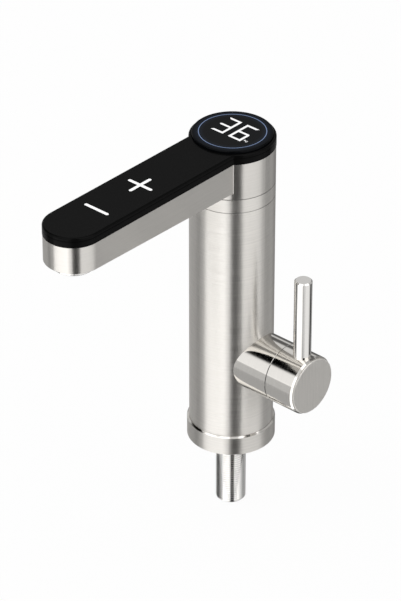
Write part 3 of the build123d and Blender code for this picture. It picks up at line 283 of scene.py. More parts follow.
def brushed_steel(name, colour, length, across, roughness, contrast, polish_height=None, seams=()):
    """Stainless steel, satin brushed: fine parallel lines as long as given and stacked along one axis,
    with reflections sharp along them and drawn out across them, and each line turned a little of its
    own. Above the height given as polish_height, in metres, it is bright as cut, and beside the seams
    it is darkened with painted shade."""
    material, tree, shader = start_material(name)
    lines = grain_of(tree, [LINE_WIDTH if axis == across else length for axis in range(3)])
    streak = [LINE_WIDTH if axis == across else STREAK_LENGTH for axis in range(3)]
    swing = LINE_SWING * contrast
    tint = shaded(tree, colour, spread(tree, lines, 1 - contrast, 1 + contrast))
    rough = spread(tree, lines, roughness - swing, roughness + swing)
    if polish_height is not None:
        above = add_node(
            tree, "ShaderNodeMath", {0: object_height(tree), 1: polish_height}, operation="GREATER_THAN"
        ).outputs[0]
        rough = add_node(
            tree, "ShaderNodeMix", {"Factor": above, "A": rough, "B": TURNED_FINE}, data_type="FLOAT"
        ).outputs[0]
    direction = {"XYZ"[across]: 1.0, "XYZ"[(across + 1) % 3]: ACROSS_LEAN}
    turned = add_node(
        tree, "ShaderNodeVectorTransform",
        {"Vector": add_node(tree, "ShaderNodeCombineXYZ", direction).outputs[0]},
        vector_type="VECTOR", convert_from="OBJECT", convert_to="WORLD",
    ).outputs[0]
    # Painted shade: a darker line beside each seam between the parts
    tint = painted_seam_shade(tree, tint, seams)
    bump = add_node(
        tree, "ShaderNodeBump",
        {"Height": grain_of(tree, streak, 1.0), "Strength": 1.0, "Distance": STREAK_DEPTH * MM},
    ).outputs[0]
    for socket, value in {
        "Base Color": tint, "Roughness": rough, "Tangent": turned, "Normal": bump
    }.items():
        tree.links.new(value, shader.inputs[socket])
    shader.inputs["Metallic"].default_value = 1.0
    shader.inputs["Anisotropic"].default_value = 1.0
    return material


def grained(name, colour, cell, roughness, swing, contrast, strength, depth):
    """A surface with one fine grain that varies its colour and roughness and stands up as a bump. Its
    cell is in millimetres. Real grain is mostly under 0.1 mm and would not show, so it is coarser."""
    material, tree, shader = start_material(name)
    grain = grain_of(tree, cell)
    tint = shaded(tree, colour, spread(tree, grain, 1 - contrast, 1 + contrast))
    rough = spread(tree, grain, roughness * (1 - swing), roughness * (1 + swing))
    bump = add_node(
        tree, "ShaderNodeBump", {"Height": grain, "Strength": strength, "Distance": depth * MM}
    ).outputs[0]
    for socket, value in {"Base Color": tint, "Roughness": rough, "Normal": bump}.items():
        tree.links.new(value, shader.inputs[socket])
    return material


def plain_metal(name, colour, cell, roughness, contrast=0.05, bump=0.1, depth=0.01):
    """A turned, drawn or plated metal: nearly even, with faint tool marks as long as its cell."""
    material = grained(name, colour, cell, roughness, METAL_SWING, contrast, bump, depth)
    shader_of(material).inputs["Metallic"].default_value = 1.0
    return material


def moulded(name, colour, cell, roughness, contrast=0.06, bump=0.2, depth=0.02, level=0.5):
    """A moulded plastic, rubber or ceramic: an even colour over a fine grain that breaks the gloss."""
    material = grained(name, colour, cell, roughness, PLASTIC_SWING, contrast, bump, depth)
    shader_of(material).inputs["Specular IOR Level"].default_value = level
    return material


def lit_mark(name, colour, body, strength):
    """Translucent print lit from behind: a bright even colour with a faint cloudiness of the ink."""
    material, tree, shader = start_material(name)
    cloud = spread(tree, grain_of(tree, (3.0, 3.0, 3.0)), 0.98, 1.02)
    tree.links.new(shaded(tree, body, cloud), shader.inputs["Base Color"])
    tree.links.new(shaded(tree, colour, cloud), shader.inputs["Emission Color"])
    shader.inputs["Emission Strength"].default_value = strength
    shader.inputs["Roughness"].default_value = 0.3
    return material


def circuit_board(name, colour, copper):
    """Glass fibre board under green solder mask: fine parallel tracks and pads show lighter through it."""
    material, tree, shader = start_material(name)
    place = add_node(tree, "ShaderNodeTexCoord").outputs["Object"]
    tracks = add_node(
        tree, "ShaderNodeTexBrick",
        {
            "Vector": place, "Scale": 1 / (TRACK_CELL * MM), "Mortar Size": TRACK_WIDTH,
            "Brick Width": TRACK_LENGTH, "Row Height": TRACK_SPACING,
            "Color1": (0, 0, 0, 1), "Color2": (0, 0, 0, 1), "Mortar": (1, 1, 1, 1),
        },
    ).outputs["Fac"]
    mask = add_node(
        tree, "ShaderNodeMix",
        {"Factor": tracks, "A": (*tuple(colour)[:3], 1), "B": (*tuple(copper)[:3], 1)}, data_type="RGBA",
    )
    raised = add_node(tree, "ShaderNodeBump", {"Height": tracks, "Strength": 0.4, "Distance": 0.03 * MM})
    tree.links.new(mask.outputs["Result"], shader.inputs["Base Color"])
    tree.links.new(raised.outputs[0], shader.inputs["Normal"])
    shader.inputs["Roughness"].default_value = 0.35
    return material


def pieces_in(slot_name, *others):
    """The CAD pieces that the record puts in one material slot, without those in the other groups."""
    left_out = [name for group in others for name in group]
    return [name for name, slot in PIECE_SLOTS.items() if slot == slot_name and name not in left_out]


def dress(material, names):
    """Gives CAD pieces their material."""
    for name in names:
        piece = frame["nodes"][name]
        piece.data.materials.clear()
        piece.data.materials.append(material)


def deselect():
    """Leaves edit mode and clears the selection before a new primitive is added."""
    if bpy.context.object and bpy.context.object.mode != "OBJECT":
        bpy.ops.object.mode_set(mode="OBJECT")
    bpy.ops.object.select_all(action="DESELECT")


def pick_points(test):
    """Selects the points of the mesh in edit mode that pass the test."""
    mesh = bmesh.from_edit_mesh(bpy.context.object.data)
    bpy.context.tool_settings.mesh_select_mode = (True, False, False)
    for parts in (mesh.verts, mesh.edges, mesh.faces):
        for part in parts:
            part.select = False
    for vertex in mesh.verts:
        if test(vertex):
            vertex.select_set(True)
    mesh.select_flush_mode()
    bmesh.update_edit_mesh(bpy.context.object.data)


def spun_shell(outline, steps, centre=(0.0, 0.0)):
    """Turns a closed outline of (radius, height) points in millimetres round the vertical axis."""
    deselect()
    bpy.ops.mesh.primitive_circle_add(vertices=len(outline), radius=MM, location=(0, 0, 0))
    piece = bpy.context.object
    bpy.ops.object.mode_set(mode="EDIT")
    mesh = bmesh.from_edit_mesh(piece.data)
    mesh.verts.ensure_lookup_table()
    for vertex, (radius, height) in zip(mesh.verts, outline):
        vertex.co = (radius * MM, 0, height * MM)
    bmesh.update_edit_mesh(piece.data)
    bpy.ops.mesh.select_all(action="SELECT")
    bpy.ops.mesh.spin(steps=steps, angle=math.tau, center=(0, 0, 0), axis=(0, 0, 1))
    bpy.ops.mesh.select_all(action="SELECT")
    bpy.ops.mesh.remove_doubles(threshold=WELD)
    bpy.ops.mesh.normals_make_consistent(inside=False)
    bpy.ops.transform.translate(value=(centre[0] * MM, centre[1] * MM, 0))
    bpy.ops.object.mode_set(mode="OBJECT")
    return piece


def apply_modifiers(piece):
    """Applies every modifier of the active piece in order."""
    for modifier in list(piece.modifiers):
        bpy.ops.object.modifier_apply(modifier=modifier.name)


def combine(piece, other, operation):
    """Joins, cuts or intersects a piece with another solid, which is then removed."""
    deselect()
    piece.select_set(True)
    bpy.context.view_layer.objects.active = piece
    cut = piece.modifiers.new("cut", "BOOLEAN")
    cut.operation = operation
    cut.solver = "EXACT"
    cut.object = other
    apply_modifiers(piece)
    bpy.data.objects.remove(other)


def finish_piece(piece, name, body, material, node):
    """Names a finished piece, puts its place into its mesh, and hangs it on its body for a CAD piece."""
    deselect()
    piece.select_set(True)
    bpy.context.view_layer.objects.active = piece
    bpy.ops.object.transform_apply(location=True, rotation=True, scale=True)
    piece.name = piece.data.name = name
    piece.data.materials.clear()
    piece.data.materials.append(material)
    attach(piece, body)
    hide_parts(node)


def length_property(name, description, millimetres, precision=6):
    """A length that the user can change, with its default in millimetres."""
    return bpy.props.FloatProperty(
        name=name, description=description, default=millimetres * MM, unit="LENGTH", precision=precision
    )


class TapSizes(bpy.types.PropertyGroup):
    """Sizes of the pieces that are modelled here, and the place of the camera and the floor."""

    thread_pitch: length_property("Thread pitch", "From crest to crest of the half inch pipe thread", 1.814)
    thread_depth: length_property("Thread depth", "From crest to root of the thread", 1.162)
    thread_round: length_property("Thread rounding", "Radius on each crest and root of the thread", 0.249)
    thread_flank: bpy.props.FloatProperty(
        name="Thread flank", description="Angle of each flank from the plane across the stem",
        default=math.radians(27.5), unit="ROTATION",
    )
    foot_chamfer: length_property("Foot chamfer", "Height of the bright bevel round the foot's top", 1.15)
    stem_bore: length_property("Stem bore", "Radius of the water bore through the stem", 7.0)
    stem_socket: length_property("Stem socket", "Radius of the socket in the top of the stem", 7.5)
    stem_neck: length_property("Stem neck", "Radius of the plain neck pressed into the base flange", 9.8)
    gauze_pitch: length_property("Gauze pitch", "Distance between the wires of the aerator's gauze", 0.92)
    floor_depth: length_property("Floor depth", "Height of the deck plane above the studio floor", 56, 4)
    camera_azimuth: bpy.props.FloatProperty(
        name="Camera azimuth", description="Direction of the camera round the tap from the spout's front",
        default=math.radians(41.842), unit="ROTATION", precision=3,
    )
    camera_height: bpy.props.FloatProperty(
        name="Camera elevation", description="Angle of the camera above the horizon",
        default=math.radians(32.276), unit="ROTATION", precision=3,
    )
    camera_distance: length_property(
        "Camera distance", "From the camera to the middle of the view", 2495.2, 4
    )
    camera_lens: bpy.props.FloatProperty(
        name="Camera lens", description="Focal length in millimetres on a 36 mm frame", default=214.97,
    )


def colour_property(name, description, code):
    """A colour that the user can change, with its default as an sRGB hex value."""
    return bpy.props.FloatVectorProperty(
        name=name, description=description, default=linear(code), subtype="COLOR", min=0, max=1
    )


class TapColours(bpy.types.PropertyGroup):
    """Colours of the finishes."""

    steel: colour_property("Brushed steel", "Satin stainless steel of the column", "E2DFDA")
    fine: colour_property("Fine brushed steel", "Satin stainless steel of the head and foot", "D8D5D0")
    bright: colour_property("Bright steel", "Turned and polished stainless steel", "EBE9E6")
    thread: colour_property("Rolled thread", "Bright rolled steel of the stem", "FBFAF8")
    zinc: colour_property("Zinc", "Bright zinc plating on the screws", "C4C8CC")
    brass: colour_property("Brass", "Turned brass of the base flange and the water parts", "D9BC7A")
    copper: colour_property("Copper", "Copper tracks under the solder mask", "D08A62")
    panel: colour_property("Touch panel", "Gloss black plastic", "090909")
    glass: colour_property("Display lens", "Black tinted lens", "07080A")
    ring: colour_property("Light ring", "Blue ring lit from behind", "6E82A6")
    figures: colour_property("Figures", "White figures lit from behind", "FFFFFF")
    marks: colour_property("Key marks", "White print of the touch keys", "FBFBFB")
    rubber: colour_property("Rubber", "Black moulded rubber", "1C1C1D")
    grey: colour_property("Grey plastic", "Grey engineering plastic", "A3A6A9")
    black: colour_property("Black plastic", "Black moulded plastic", "262728")
    white: colour_property("White plastic", "White moulded plastic", "E6E5E1")
    board: colour_property("Solder mask", "Green solder mask of the circuit boards", "1C6B3C")
    ceramic: colour_property("Ceramic", "Ground alumina of the valve discs", "EEECE6")
    magnet: colour_property("Magnet", "Nickel plating of the magnet", "A9A8A4")
    floor: colour_property("Floor", "Pale studio floor", "F7F7F7")


class TAP_OT_steel_shells(bpy.types.Operator):
    """Give the column, foot, collar, head and lever face their brushed stainless steel"""

    bl_idname = "heater_tap.steel_shells"
    bl_label = "Brushed steel shells"

    def execute(self, context):
        colours = context.scene.tap_colours
        others = (HEAD_PIECES, LEVER_PIECES, FACE_PIECES, FOOT_PIECES)
        # Heights of the seams, beside which the steel gets painted shade
        seams = [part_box(name)[1].z for name in ("column_shell", "swivel_collar")]
        # Brushed round and round on a lathe: a satin sheen that stands up in long vertical bands
        column = brushed_steel(
            "stainless_steel_turned_satin", colours.steel, LINE_LENGTH, Z_AXIS, 0.42, 0.07, seams=seams
        )
        dress(column, pieces_in("stainless_brushed", *others))
        # The same satin with its bevel left bright from the turning, which flashes as a thin line
        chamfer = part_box("base_ring")[1].z - context.scene.tap_sizes.foot_chamfer
        foot = brushed_steel(
            "stainless_steel_turned_satin_polished_rim", colours.fine, LINE_LENGTH, Z_AXIS, 0.40, 0.07,
            chamfer,
        )
        dress(foot, FOOT_PIECES)
        # Linished on a fine belt: an evener grey on the flat sides, and bands with sharper edges
        head = brushed_steel(
            "stainless_steel_linished_satin", colours.fine, BELT_LINE_LENGTH, Z_AXIS, 0.31, 0.03,
            seams=seams,
        )
        dress(head, HEAD_PIECES)
        # Linished upright: a flat grey disc with fine upright lines
        face = brushed_steel(
            "stainless_steel_linished_face", colours.steel, LINE_LENGTH, Y_AXIS, 0.34, 0.05
        )
        dress(face, FACE_PIECES)
        return {"FINISHED"}


class TAP_OT_polished_parts(bpy.types.Operator):
    """Give the lever, its rod and the aerator ring their polished steel"""

    bl_idname = "heater_tap.polished_parts"
    bl_label = "Polished steel parts"

    def execute(self, context):
        colours = context.scene.tap_colours
        # Finely turned: nearly a mirror, which takes hard black and white bands along the lever
        lever = plain_metal(
            "stainless_steel_turned_fine", colours.steel, (0.8, 24, 24), TURNED_FINE,
            contrast=0.02, bump=0.05, depth=0.004,
        )
        dress(lever, LEVER_PIECES)
        # Polished after turning: clear and narrow reflections down the rod and round the aerator
        polished = plain_metal(
            "stainless_steel_turned_polished", colours.bright, (10, 10, 0.5), POLISHED,
            contrast=0.02, bump=0.05, depth=0.004,
        )
        dress(polished, ROD_PIECES)
        return {"FINISHED"}


class TAP_OT_threaded_stem(bpy.types.Operator):
    """Model the hollow inlet stem with its half inch pipe thread as one true helix"""

    bl_idname = "heater_tap.threaded_stem"
    bl_label = "Threaded stem"

    def execute(self, context):
        sizes = context.scene.tap_sizes
        low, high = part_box("threaded_stem")
        crest, bottom, top = high.x / MM, low.z / MM, high.z / MM
        depth = sizes.thread_depth / MM
        root = crest - depth
        bore, socket, neck = (size / MM for size in (sizes.stem_bore, sizes.stem_socket, sizes.stem_neck))
        stem = self.wind_thread(sizes, root, crest, bottom)
        wide = crest + CUT_SPARE
        envelope = spun_shell(
            ((bore, bottom), (root, bottom), (wide, bottom + depth + CUT_SPARE), (wide, 0.0), (bore, 0.0)),
            STEM_STEPS,
        )
        combine(stem, envelope, "INTERSECT")
        collar = spun_shell(
            ((socket, -JOIN_OVERLAP), (neck, -JOIN_OVERLAP), (neck, top), (socket, top)), STEM_STEPS
        )
        combine(stem, collar, "UNION")
        bpy.ops.object.shade_smooth_by_angle(angle=math.radians(40))
        rolled = self.rolled_steel(context.scene.tap_colours.thread, root, crest)
        dress(rolled, ("threaded_stem",))
        finish_piece(stem, "stem_thread_helix", "root", rolled, "threaded_stem")
        return {"FINISHED"}

    def wind_thread(self, sizes, root, crest, bottom):
        """Winds one turn's profile up the stem as a helix, and closes it level at both ends."""
        pitch, rounding = sizes.thread_pitch / MM, sizes.thread_round / MM
        lean = math.pi / 2 - sizes.thread_flank
        # Each bend's place in the pitch, 1 on a crest or -1 in a root, and the shares of its arc
        # that get a point
        bends = ((0, -1, (0, 0.5, 1)), (0.5, 1, (-1, -0.5, 0, 0.5, 1)), (1, -1, (-1, -0.5, 0)))
        profile = []
        for middle, side, shares in bends:
            for share in shares:
                fall = rounding * (1 - math.cos(share * lean))
                radius = crest - fall if side > 0 else root + fall
                height = bottom - pitch + middle * pitch + rounding * math.sin(share * lean)
                profile.append((radius, height))
        deselect()
        bpy.ops.mesh.primitive_circle_add(vertices=4, radius=MM, location=(0, 0, 0))
        thread = bpy.context.object
        bpy.ops.object.mode_set(mode="EDIT")
        mesh = bmesh.from_edit_mesh(thread.data)
        for vertex in list(mesh.verts):
            mesh.verts.remove(vertex)
        made = [mesh.verts.new((radius * MM, 0, height * MM)) for radius, height in profile]
        for first, second in zip(made, made[1:]):
            mesh.edges.new((first, second))
        bmesh.update_edit_mesh(thread.data)
        bpy.ops.object.mode_set(mode="OBJECT")
        helix = thread.modifiers.new("helix", "SCREW")
        helix.axis = "Z"
        helix.screw_offset = sizes.thread_pitch
        helix.iterations = math.ceil(-bottom / pitch) + 2
        helix.steps = helix.render_steps = THREAD_STEPS
        helix.use_merge_vertices = True
        helix.merge_threshold = 2 * WELD
        helix.use_smooth_shade = False
        apply_modifiers(thread)
        bpy.ops.object.mode_set(mode="EDIT")
        for height, normal in ((bottom, -1), (0.0, 1)):
            bpy.ops.mesh.select_all(action="SELECT")
            bpy.ops.mesh.bisect(
                plane_co=(0, 0, height * MM), plane_no=(0, 0, normal), clear_outer=True, use_fill=True
            )
        bpy.ops.mesh.select_all(action="SELECT")
        bpy.ops.mesh.remove_doubles(threshold=2 * WELD)
        bpy.ops.mesh.normals_make_consistent(inside=False)
        bpy.ops.object.mode_set(mode="OBJECT")
        return thread

    def rolled_steel(self, colour, root, crest):
        """Rolled stainless steel, bright, with painted shade that darkens the thread towards its roots."""
        rolled = plain_metal("stainless_steel_thread_rolled", colour, (8, 8, 0.5), 0.1, 0.03)
        tree = rolled.node_tree
        # Painted shade: darker from the crests down to the roots, where the thread's hollows fall in shadow
        painted_root_shade = add_node(
            tree, "ShaderNodeMapRange",
            {
                "Value": axis_distance(tree), "From Min": root * MM, "From Max": crest * MM,
                "To Min": PAINTED_ROOT_SHADE_LEVEL,
            },
        ).outputs[0]
        base_colour = shader_of(rolled).inputs["Base Color"]
        tree.links.new(shaded(tree, base_colour.links[0].from_socket, painted_root_shade), base_colour)
        return rolled


class TAP_OT_aerator_gauze(bpy.types.Operator):
    """Model the aerator's insert: a ring with a square gauze across its mouth"""

    bl_idname = "heater_tap.aerator_gauze"
    bl_label = "Aerator insert"

    def execute(self, context):
        sizes = context.scene.tap_sizes
        low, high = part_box("aerator_insert")
        middle = (low + high) / 2
        outer = (high.x - low.x) / 2 / MM
        inner = outer - INSERT_WALL
        bottom, top = low.z / MM, high.z / MM
        ring = spun_shell(
            (
                (inner, bottom + INSERT_BEVEL), (outer - INSERT_BEVEL, bottom),
                (outer, bottom + INSERT_BEVEL), (outer, top), (inner, top),
            ),
            INSERT_STEPS,
            (middle.x / MM, middle.y / MM),
        )
        cells = round(2 * outer * MM / sizes.gauze_pitch)
        deselect()
        bpy.ops.mesh.primitive_grid_add(
            x_subdivisions=cells, y_subdivisions=cells, size=2 * outer * MM,
            location=(middle.x, middle.y, low.z + GAUZE_HEIGHT * MM),
        )
        gauze = bpy.context.object
        bpy.ops.object.mode_set(mode="EDIT")
        reach = (outer - GAUZE_MARGIN * INSERT_WALL) * MM
        pick_points(lambda vertex: vertex.co.to_2d().length > reach)
        bpy.ops.mesh.delete(type="VERT")
        bpy.ops.object.mode_set(mode="OBJECT")
        wires = gauze.modifiers.new("wires", "WIREFRAME")
        wires.thickness = GAUZE_WIRE * MM
        wires.use_boundary = True
        apply_modifiers(gauze)
        bpy.ops.object.transform_apply(location=True)
        ring.select_set(True)
        bpy.context.view_layer.objects.active = ring
        bpy.ops.object.join()
        bpy.ops.object.shade_smooth_by_angle(angle=math.radians(30))
        # Moulded acetal: a dense, faintly waxy white
        acetal = moulded("acetal_moulded_white", context.scene.tap_colours.white, (0.9, 0.9, 0.9), 0.4, 0.03)
        finish_piece(ring, "aerator_gauze", "spout", acetal, "aerator_insert")
        return {"FINISHED"}


class TAP_OT_touch_panel(bpy.types.Operator):
    """Give the touch panel its gloss black and the key marks their white"""

    bl_idname = "heater_tap.touch_panel"
    bl_label = "Touch panel"

    def execute(self, context):
        colours = context.scene.tap_colours
        # Moulded ABS in gloss black: deep and even, with only a soft and dim reflection
        gloss = moulded(
            "abs_moulded_gloss_black", colours.panel, (6, 6, 6), 0.2,
            contrast=0.1, bump=0.02, depth=0.01, level=DARK_GLOSS,
        )
        dress(gloss, pieces_in("black_gloss_plastic"))
        # White ink, faintly lit from behind: crisp and even on the black
        dress(lit_mark("ink_white_lit", colours.marks, colours.marks, 0.2), pieces_in("white_marks"))
        return {"FINISHED"}


class TAP_OT_display(bpy.types.Operator):
    """Give the display its black lens, blue ring and white figures"""

    bl_idname = "heater_tap.display"
    bl_label = "Display"

    def execute(self, context):
        colours = context.scene.tap_colours
        # Cast acrylic tinted black: glassy, with the ring's blue light spreading in it
        lens = moulded(
            "acrylic_cast_tinted_black", colours.glass, (4, 4, 4), 0.08,
            contrast=0.15, bump=0.02, depth=0.005, level=DARK_GLOSS,
        )
        low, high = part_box("light_ring")
        radius = (high.x - low.x) / 2
        tree = lens.node_tree
        glow = shaded(tree, colours.ring, ring_glow(tree, radius))
        bleed = add_node(
            tree, "ShaderNodeMapRange",
            {
                "Value": axis_distance(tree), "From Min": radius - BLEED_FADE * MM, "From Max": radius,
                "To Min": DISPLAY_BLEED, "To Max": 0.0,
            },
        ).outputs[0]
        lit = add_node(
            tree, "ShaderNodeVectorMath", {0: glow, 1: shaded(tree, colours.figures, bleed)}, operation="ADD"
        ).outputs[0]
        shader = shader_of(lens)
        tree.links.new(lit, shader.inputs["Emission Color"])
        shader.inputs["Emission Strength"].default_value = 1.0
        dress(lens, pieces_in("black_glass"))
        # Milky diffusers over the lamps: an even glow with no shading of their own
        dress(lit_mark("diffuser_blue_lit", colours.ring, colours.glass, 1.0), pieces_in("lit_blue"))
        dress(lit_mark("diffuser_white_lit", colours.figures, colours.glass, 1.0), pieces_in("lit_white"))
        return {"FINISHED"}


class TAP_OT_fasteners(bpy.types.Operator):
    """Give the screws their zinc plating"""

    bl_idname = "heater_tap.fasteners"
    bl_label = "Fasteners"

    def execute(self, context):
        # Zinc plated steel: bright and faintly mottled
        zinc = plain_metal("steel_zinc_plated", context.scene.tap_colours.zinc, (0.8, 0.8, 0.8), 0.3, 0.08)
        dress(zinc, pieces_in("zinc_plated_steel"))
        return {"FINISHED"}


class TAP_OT_water_parts(bpy.types.Operator):
    """Give the valve its brass and ceramic, and the elements and probe their steel"""

    bl_idname = "heater_tap.water_parts"
    bl_label = "Water parts"

    def execute(self, context):
        colours = context.scene.tap_colours
        # Turned brass: warm yellow with fine rings from the tool
        brass = plain_metal(
            "brass_turned", colours.brass, (6, 6, 0.4), 0.24, contrast=0.06, bump=0.2, depth=0.02
        )
        dress(brass, pieces_in("brass"))
        # Drawn and annealed stainless steel: a soft sheen along the tubes
        sheath = plain_metal(
            "stainless_steel_drawn_annealed", colours.bright, (0.7, 0.7, 9), 0.3,
            contrast=0.06, bump=0.2, depth=0.02,
        )
        dress(sheath, WATER_STEEL_PIECES)
        # Ground alumina: dense, smooth and off-white
        alumina = moulded(
            "alumina_ground", colours.ceramic, (0.3, 0.3, 0.3), 0.3, contrast=0.03, bump=0.1, depth=0.005
        )
        dress(alumina, pieces_in("ceramic"))
        return {"FINISHED"}


class TAP_OT_seals(bpy.types.Operator):
    """Give the gasket, bush, seals and touch pads their black rubber"""

    bl_idname = "heater_tap.seals"
    bl_label = "Rubber seals"

    def execute(self, context):
        # Moulded EPDM rubber: matt black with a fine bloom
        rubber = moulded("epdm_rubber_moulded", context.scene.tap_colours.rubber, (0.5, 0.5, 0.5), 0.62, 0.12)
        dress(rubber, pieces_in("black_rubber"))
        return {"FINISHED"}


class TAP_OT_plastic_parts(bpy.types.Operator):
    """Give the tank, swivel and inner plastic parts their grey, black and white mouldings"""

    bl_idname = "heater_tap.plastic_parts"
    bl_label = "Plastic parts"

    def execute(self, context):
        colours = context.scene.tap_colours
        # Nylon filled with glass: matt, with a fine fibrous grain, in grey and in black
        grey = moulded("glass_filled_nylon_grey", colours.grey, (0.6, 0.6, 0.6), 0.5)
        dress(grey, pieces_in("grey_plastic"))
        black = moulded("glass_filled_nylon_black", colours.black, (0.6, 0.6, 0.6), 0.45)
        dress(black, pieces_in("black_plastic"))
        # Moulded polypropylene: smooth, with a soft shine
        white = moulded("polypropylene_white", colours.white, (0.9, 0.9, 0.9), 0.42, 0.03)
        dress(white, pieces_in("white_plastic"))
        return {"FINISHED"}


class TAP_OT_electric_parts(bpy.types.Operator):
    """Give the circuit boards and the float magnet their finishes"""

    bl_idname = "heater_tap.electric_parts"
    bl_label = "Electric parts"

    def execute(self, context):
        colours = context.scene.tap_colours
        # Glass fibre under solder mask: green, with paler tracks that stand up a little
        board = circuit_board("glass_fibre_board_green", colours.board, colours.copper)
        dress(board, pieces_in("circuit_board"))
        # Nickel plating: silvery, softly mottled
        nickel = plain_metal("nickel_plated", colours.magnet, (0.7, 0.7, 0.7), 0.28)
        dress(nickel, pieces_in("magnet"))
        return {"FINISHED"}


class TAP_OT_studio(bpy.types.Operator):
    """Set the camera, the pale floor, the light tent and a soft lamp"""

    bl_idname = "heater_tap.studio"
    bl_label = "Studio"

    def execute(self, context):
        scene = context.scene
        self.set_camera(scene)
        self.lay_floor(scene)
        self.hang_tent(scene)
        self.hang_lamp()
        scene.view_settings.view_transform = "Standard"
        return {"FINISHED"}

    def set_camera(self, scene):
        """Adds the camera at its direction and distance, aimed at the middle of the view."""
        sizes = scene.tap_sizes
        turn, rise = sizes.camera_azimuth, sizes.camera_height
        back = Vector((math.sin(turn) * math.cos(rise), -math.cos(turn) * math.cos(rise), math.sin(rise)))
        right = Vector((math.cos(turn), math.sin(turn), 0))
        up = back.cross(right)
        deselect()
        middle = right * CAMERA_AIM[0] * MM + up * CAMERA_AIM[1] * MM
        bpy.ops.object.camera_add(location=middle + back * sizes.camera_distance)
        camera = bpy.context.object
        camera.rotation_mode = "QUATERNION"
        camera.rotation_quaternion = (-back).to_track_quat("-Z", "Y")
        camera.data.lens = sizes.camera_lens
        camera.data.sensor_width = FRAME_WIDTH
        camera.data.clip_start, camera.data.clip_end = CLIP_NEAR, CLIP_FAR
        scene.camera = camera

    def lay_floor(self, scene):
        """Lays the floor below the stem: white to the camera, but still taking the tap's shadow."""
        deselect()
        bpy.ops.mesh.primitive_circle_add(
            vertices=FLOOR_STEPS, radius=FLOOR_RADIUS, fill_type="NGON",
            location=(0, 0, -scene.tap_sizes.floor_depth),
        )
        floor = bpy.context.object
        floor.name = "studio_floor"
        # Matt white paper: it takes the shadow and gives no reflection
        material = bpy.data.materials.new("paper_floor_matt")
        material.use_nodes = True
        tree = material.node_tree
        tree.nodes.clear()
        colour = (*tuple(scene.tap_colours.floor)[:3], 1)
        paper = add_node(tree, "ShaderNodeBsdfDiffuse", {"Color": colour}).outputs[0]
        white = add_node(tree, "ShaderNodeEmission", {"Color": (1, 1, 1, 1), "Strength": 1.0}).outputs[0]
        path = add_node(tree, "ShaderNodeLightPath")
        seen = path.outputs["Is Camera Ray"]
        for ray in ("Is Glossy Ray", "Is Transmission Ray"):
            seen = add_node(
                tree, "ShaderNodeMath", {0: seen, 1: path.outputs[ray]}, operation="MAXIMUM"
            ).outputs[0]
        share = add_node(tree, "ShaderNodeMath", {0: seen, 1: FLOOR_WHITE}, operation="MULTIPLY").outputs[0]
        mixed = add_node(tree, "ShaderNodeMixShader", {0: share, 1: paper, 2: white}).outputs[0]
        add_node(tree, "ShaderNodeOutputMaterial", {"Surface": mixed})
        floor.data.materials.append(material)
        floor.visible_glossy = False

    def hang_tent(self, scene):
        """Hangs the cards round the tap, where reflections see them; the camera sees plain white."""
        world = bpy.data.worlds.new("light_tent")
        scene.world = world
        world.use_nodes = True
        tree = world.node_tree
        tree.nodes.clear()
        look = add_node(tree, "ShaderNodeTexCoord").outputs["Generated"]
        turn = math.pi / 2 - scene.tap_sizes.camera_azimuth
        turned = add_node(
            tree, "ShaderNodeMapping", {"Vector": look, "Rotation": (0, 0, turn)}, vector_type="VECTOR"
        ).outputs[0]
        parts = add_node(tree, "ShaderNodeSeparateXYZ", {0: turned})
        azimuth = add_node(
            tree, "ShaderNodeMath", {0: parts.outputs[1], 1: parts.outputs[0]}, operation="ARCTAN2"
        ).outputs[0]
        height = add_node(tree, "ShaderNodeMath", {0: parts.outputs[2]}, operation="ARCSINE").outputs[0]
        level = TENT_LEVEL
        for _, left, right, low, high, soft, brightness in TENT_CARDS:
            across = self.window(tree, azimuth, left, right, soft)
            upright = self.window(tree, height, low, high, soft)
            card = add_node(tree, "ShaderNodeMath", {0: across, 1: upright}, operation="MULTIPLY").outputs[0]
            level = add_node(
                tree, "ShaderNodeMix", {"Factor": card, "A": level, "B": brightness}, data_type="FLOAT"
            ).outputs[0]
        path = add_node(tree, "ShaderNodeLightPath")
        seen = add_node(
            tree, "ShaderNodeMix", {"Factor": path.outputs["Is Diffuse Ray"], "A": level, "B": DIFFUSE_LEVEL}
        ).outputs[0]
        white = add_node(
            tree, "ShaderNodeMath",
            {0: path.outputs["Is Camera Ray"], 1: path.outputs["Is Transmission Ray"]}, operation="MAXIMUM",
        ).outputs[0]
        seen = add_node(tree, "ShaderNodeMix", {"Factor": white, "A": seen, "B": 1.0}).outputs[0]
        background = add_node(
            tree, "ShaderNodeBackground", {"Color": (1, 1, 1, 1), "Strength": seen}
        ).outputs[0]
        add_node(tree, "ShaderNodeOutputWorld", {"Surface": background})

    def window(self, tree, angle, start, end, soft):
        """How much of a card an angle meets: 1 between its ends, in degrees, and 0 past its soft edge."""
        half = (end - start) / 2
        away = add_node(
            tree, "ShaderNodeMath", {0: angle, 1: math.radians(start + half)}, operation="SUBTRACT"
        ).outputs[0]
        away = add_node(
            tree, "ShaderNodeMath", {0: away, 1: math.pi, 2: -math.pi}, operation="WRAP"
        ).outputs[0]
        away = add_node(tree, "ShaderNodeMath", {0: away}, operation="ABSOLUTE").outputs[0]
        return add_node(
            tree, "ShaderNodeMapRange",
            {
                "Value": away, "From Min": math.radians(half + soft / 2),
                "From Max": math.radians(half - soft / 2),
            },
            interpolation_type="SMOOTHSTEP",
        ).outputs[0]

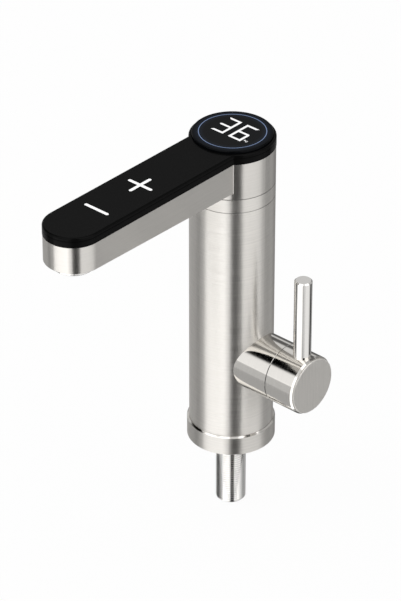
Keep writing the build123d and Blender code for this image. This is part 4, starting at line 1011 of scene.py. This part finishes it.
    def hang_lamp(self):
        """Hangs the soft lamp that draws the shadow on the floor."""
        deselect()
        bpy.ops.object.light_add(type="AREA", location=LAMP_PLACE)
        lamp = bpy.context.object
        lamp.data.shape = "DISK"
        lamp.data.size = LAMP_SIZE
        lamp.data.energy = LAMP_POWER
        lamp.rotation_mode = "QUATERNION"
        lamp.rotation_quaternion = (-lamp.location).to_track_quat("-Z", "Y")
        lamp.visible_glossy = False


OPERATORS = (
    TAP_OT_steel_shells,
    TAP_OT_polished_parts,
    TAP_OT_threaded_stem,
    TAP_OT_aerator_gauze,
    TAP_OT_touch_panel,
    TAP_OT_display,
    TAP_OT_fasteners,
    TAP_OT_water_parts,
    TAP_OT_seals,
    TAP_OT_plastic_parts,
    TAP_OT_electric_parts,
    TAP_OT_studio,
)


class TAP_PT_sidebar(bpy.types.Panel):
    """Lists the tap's pieces and the studio in the sidebar"""

    bl_idname = "TAP_PT_sidebar"
    bl_label = "Heater Tap"
    bl_space_type = "VIEW_3D"
    bl_region_type = "UI"
    bl_category = "Heater Tap"

    def draw(self, context):
        for operator in OPERATORS:
            self.layout.operator(operator.bl_idname)
        for group in (context.scene.tap_sizes, context.scene.tap_colours):
            for name in group.bl_rna.properties.keys():
                if name not in ("rna_type", "name"):
                    self.layout.prop(group, name)


CLASSES = (TapSizes, TapColours, *OPERATORS, TAP_PT_sidebar)


def register():
    """Registers the classes and hangs the sizes and colours on the scene."""
    for cls in CLASSES:
        bpy.utils.register_class(cls)
    bpy.types.Scene.tap_sizes = bpy.props.PointerProperty(type=TapSizes)
    bpy.types.Scene.tap_colours = bpy.props.PointerProperty(type=TapColours)


def unregister():
    """Takes the sizes, colours and classes away again."""
    del bpy.types.Scene.tap_colours
    del bpy.types.Scene.tap_sizes
    for cls in reversed(CLASSES):
        bpy.utils.unregister_class(cls)


def main():
    register()
    for operator in OPERATORS:
        group, name = operator.bl_idname.split(".")
        getattr(getattr(bpy.ops, group), name)()


if __name__ == "__main__":
    main()
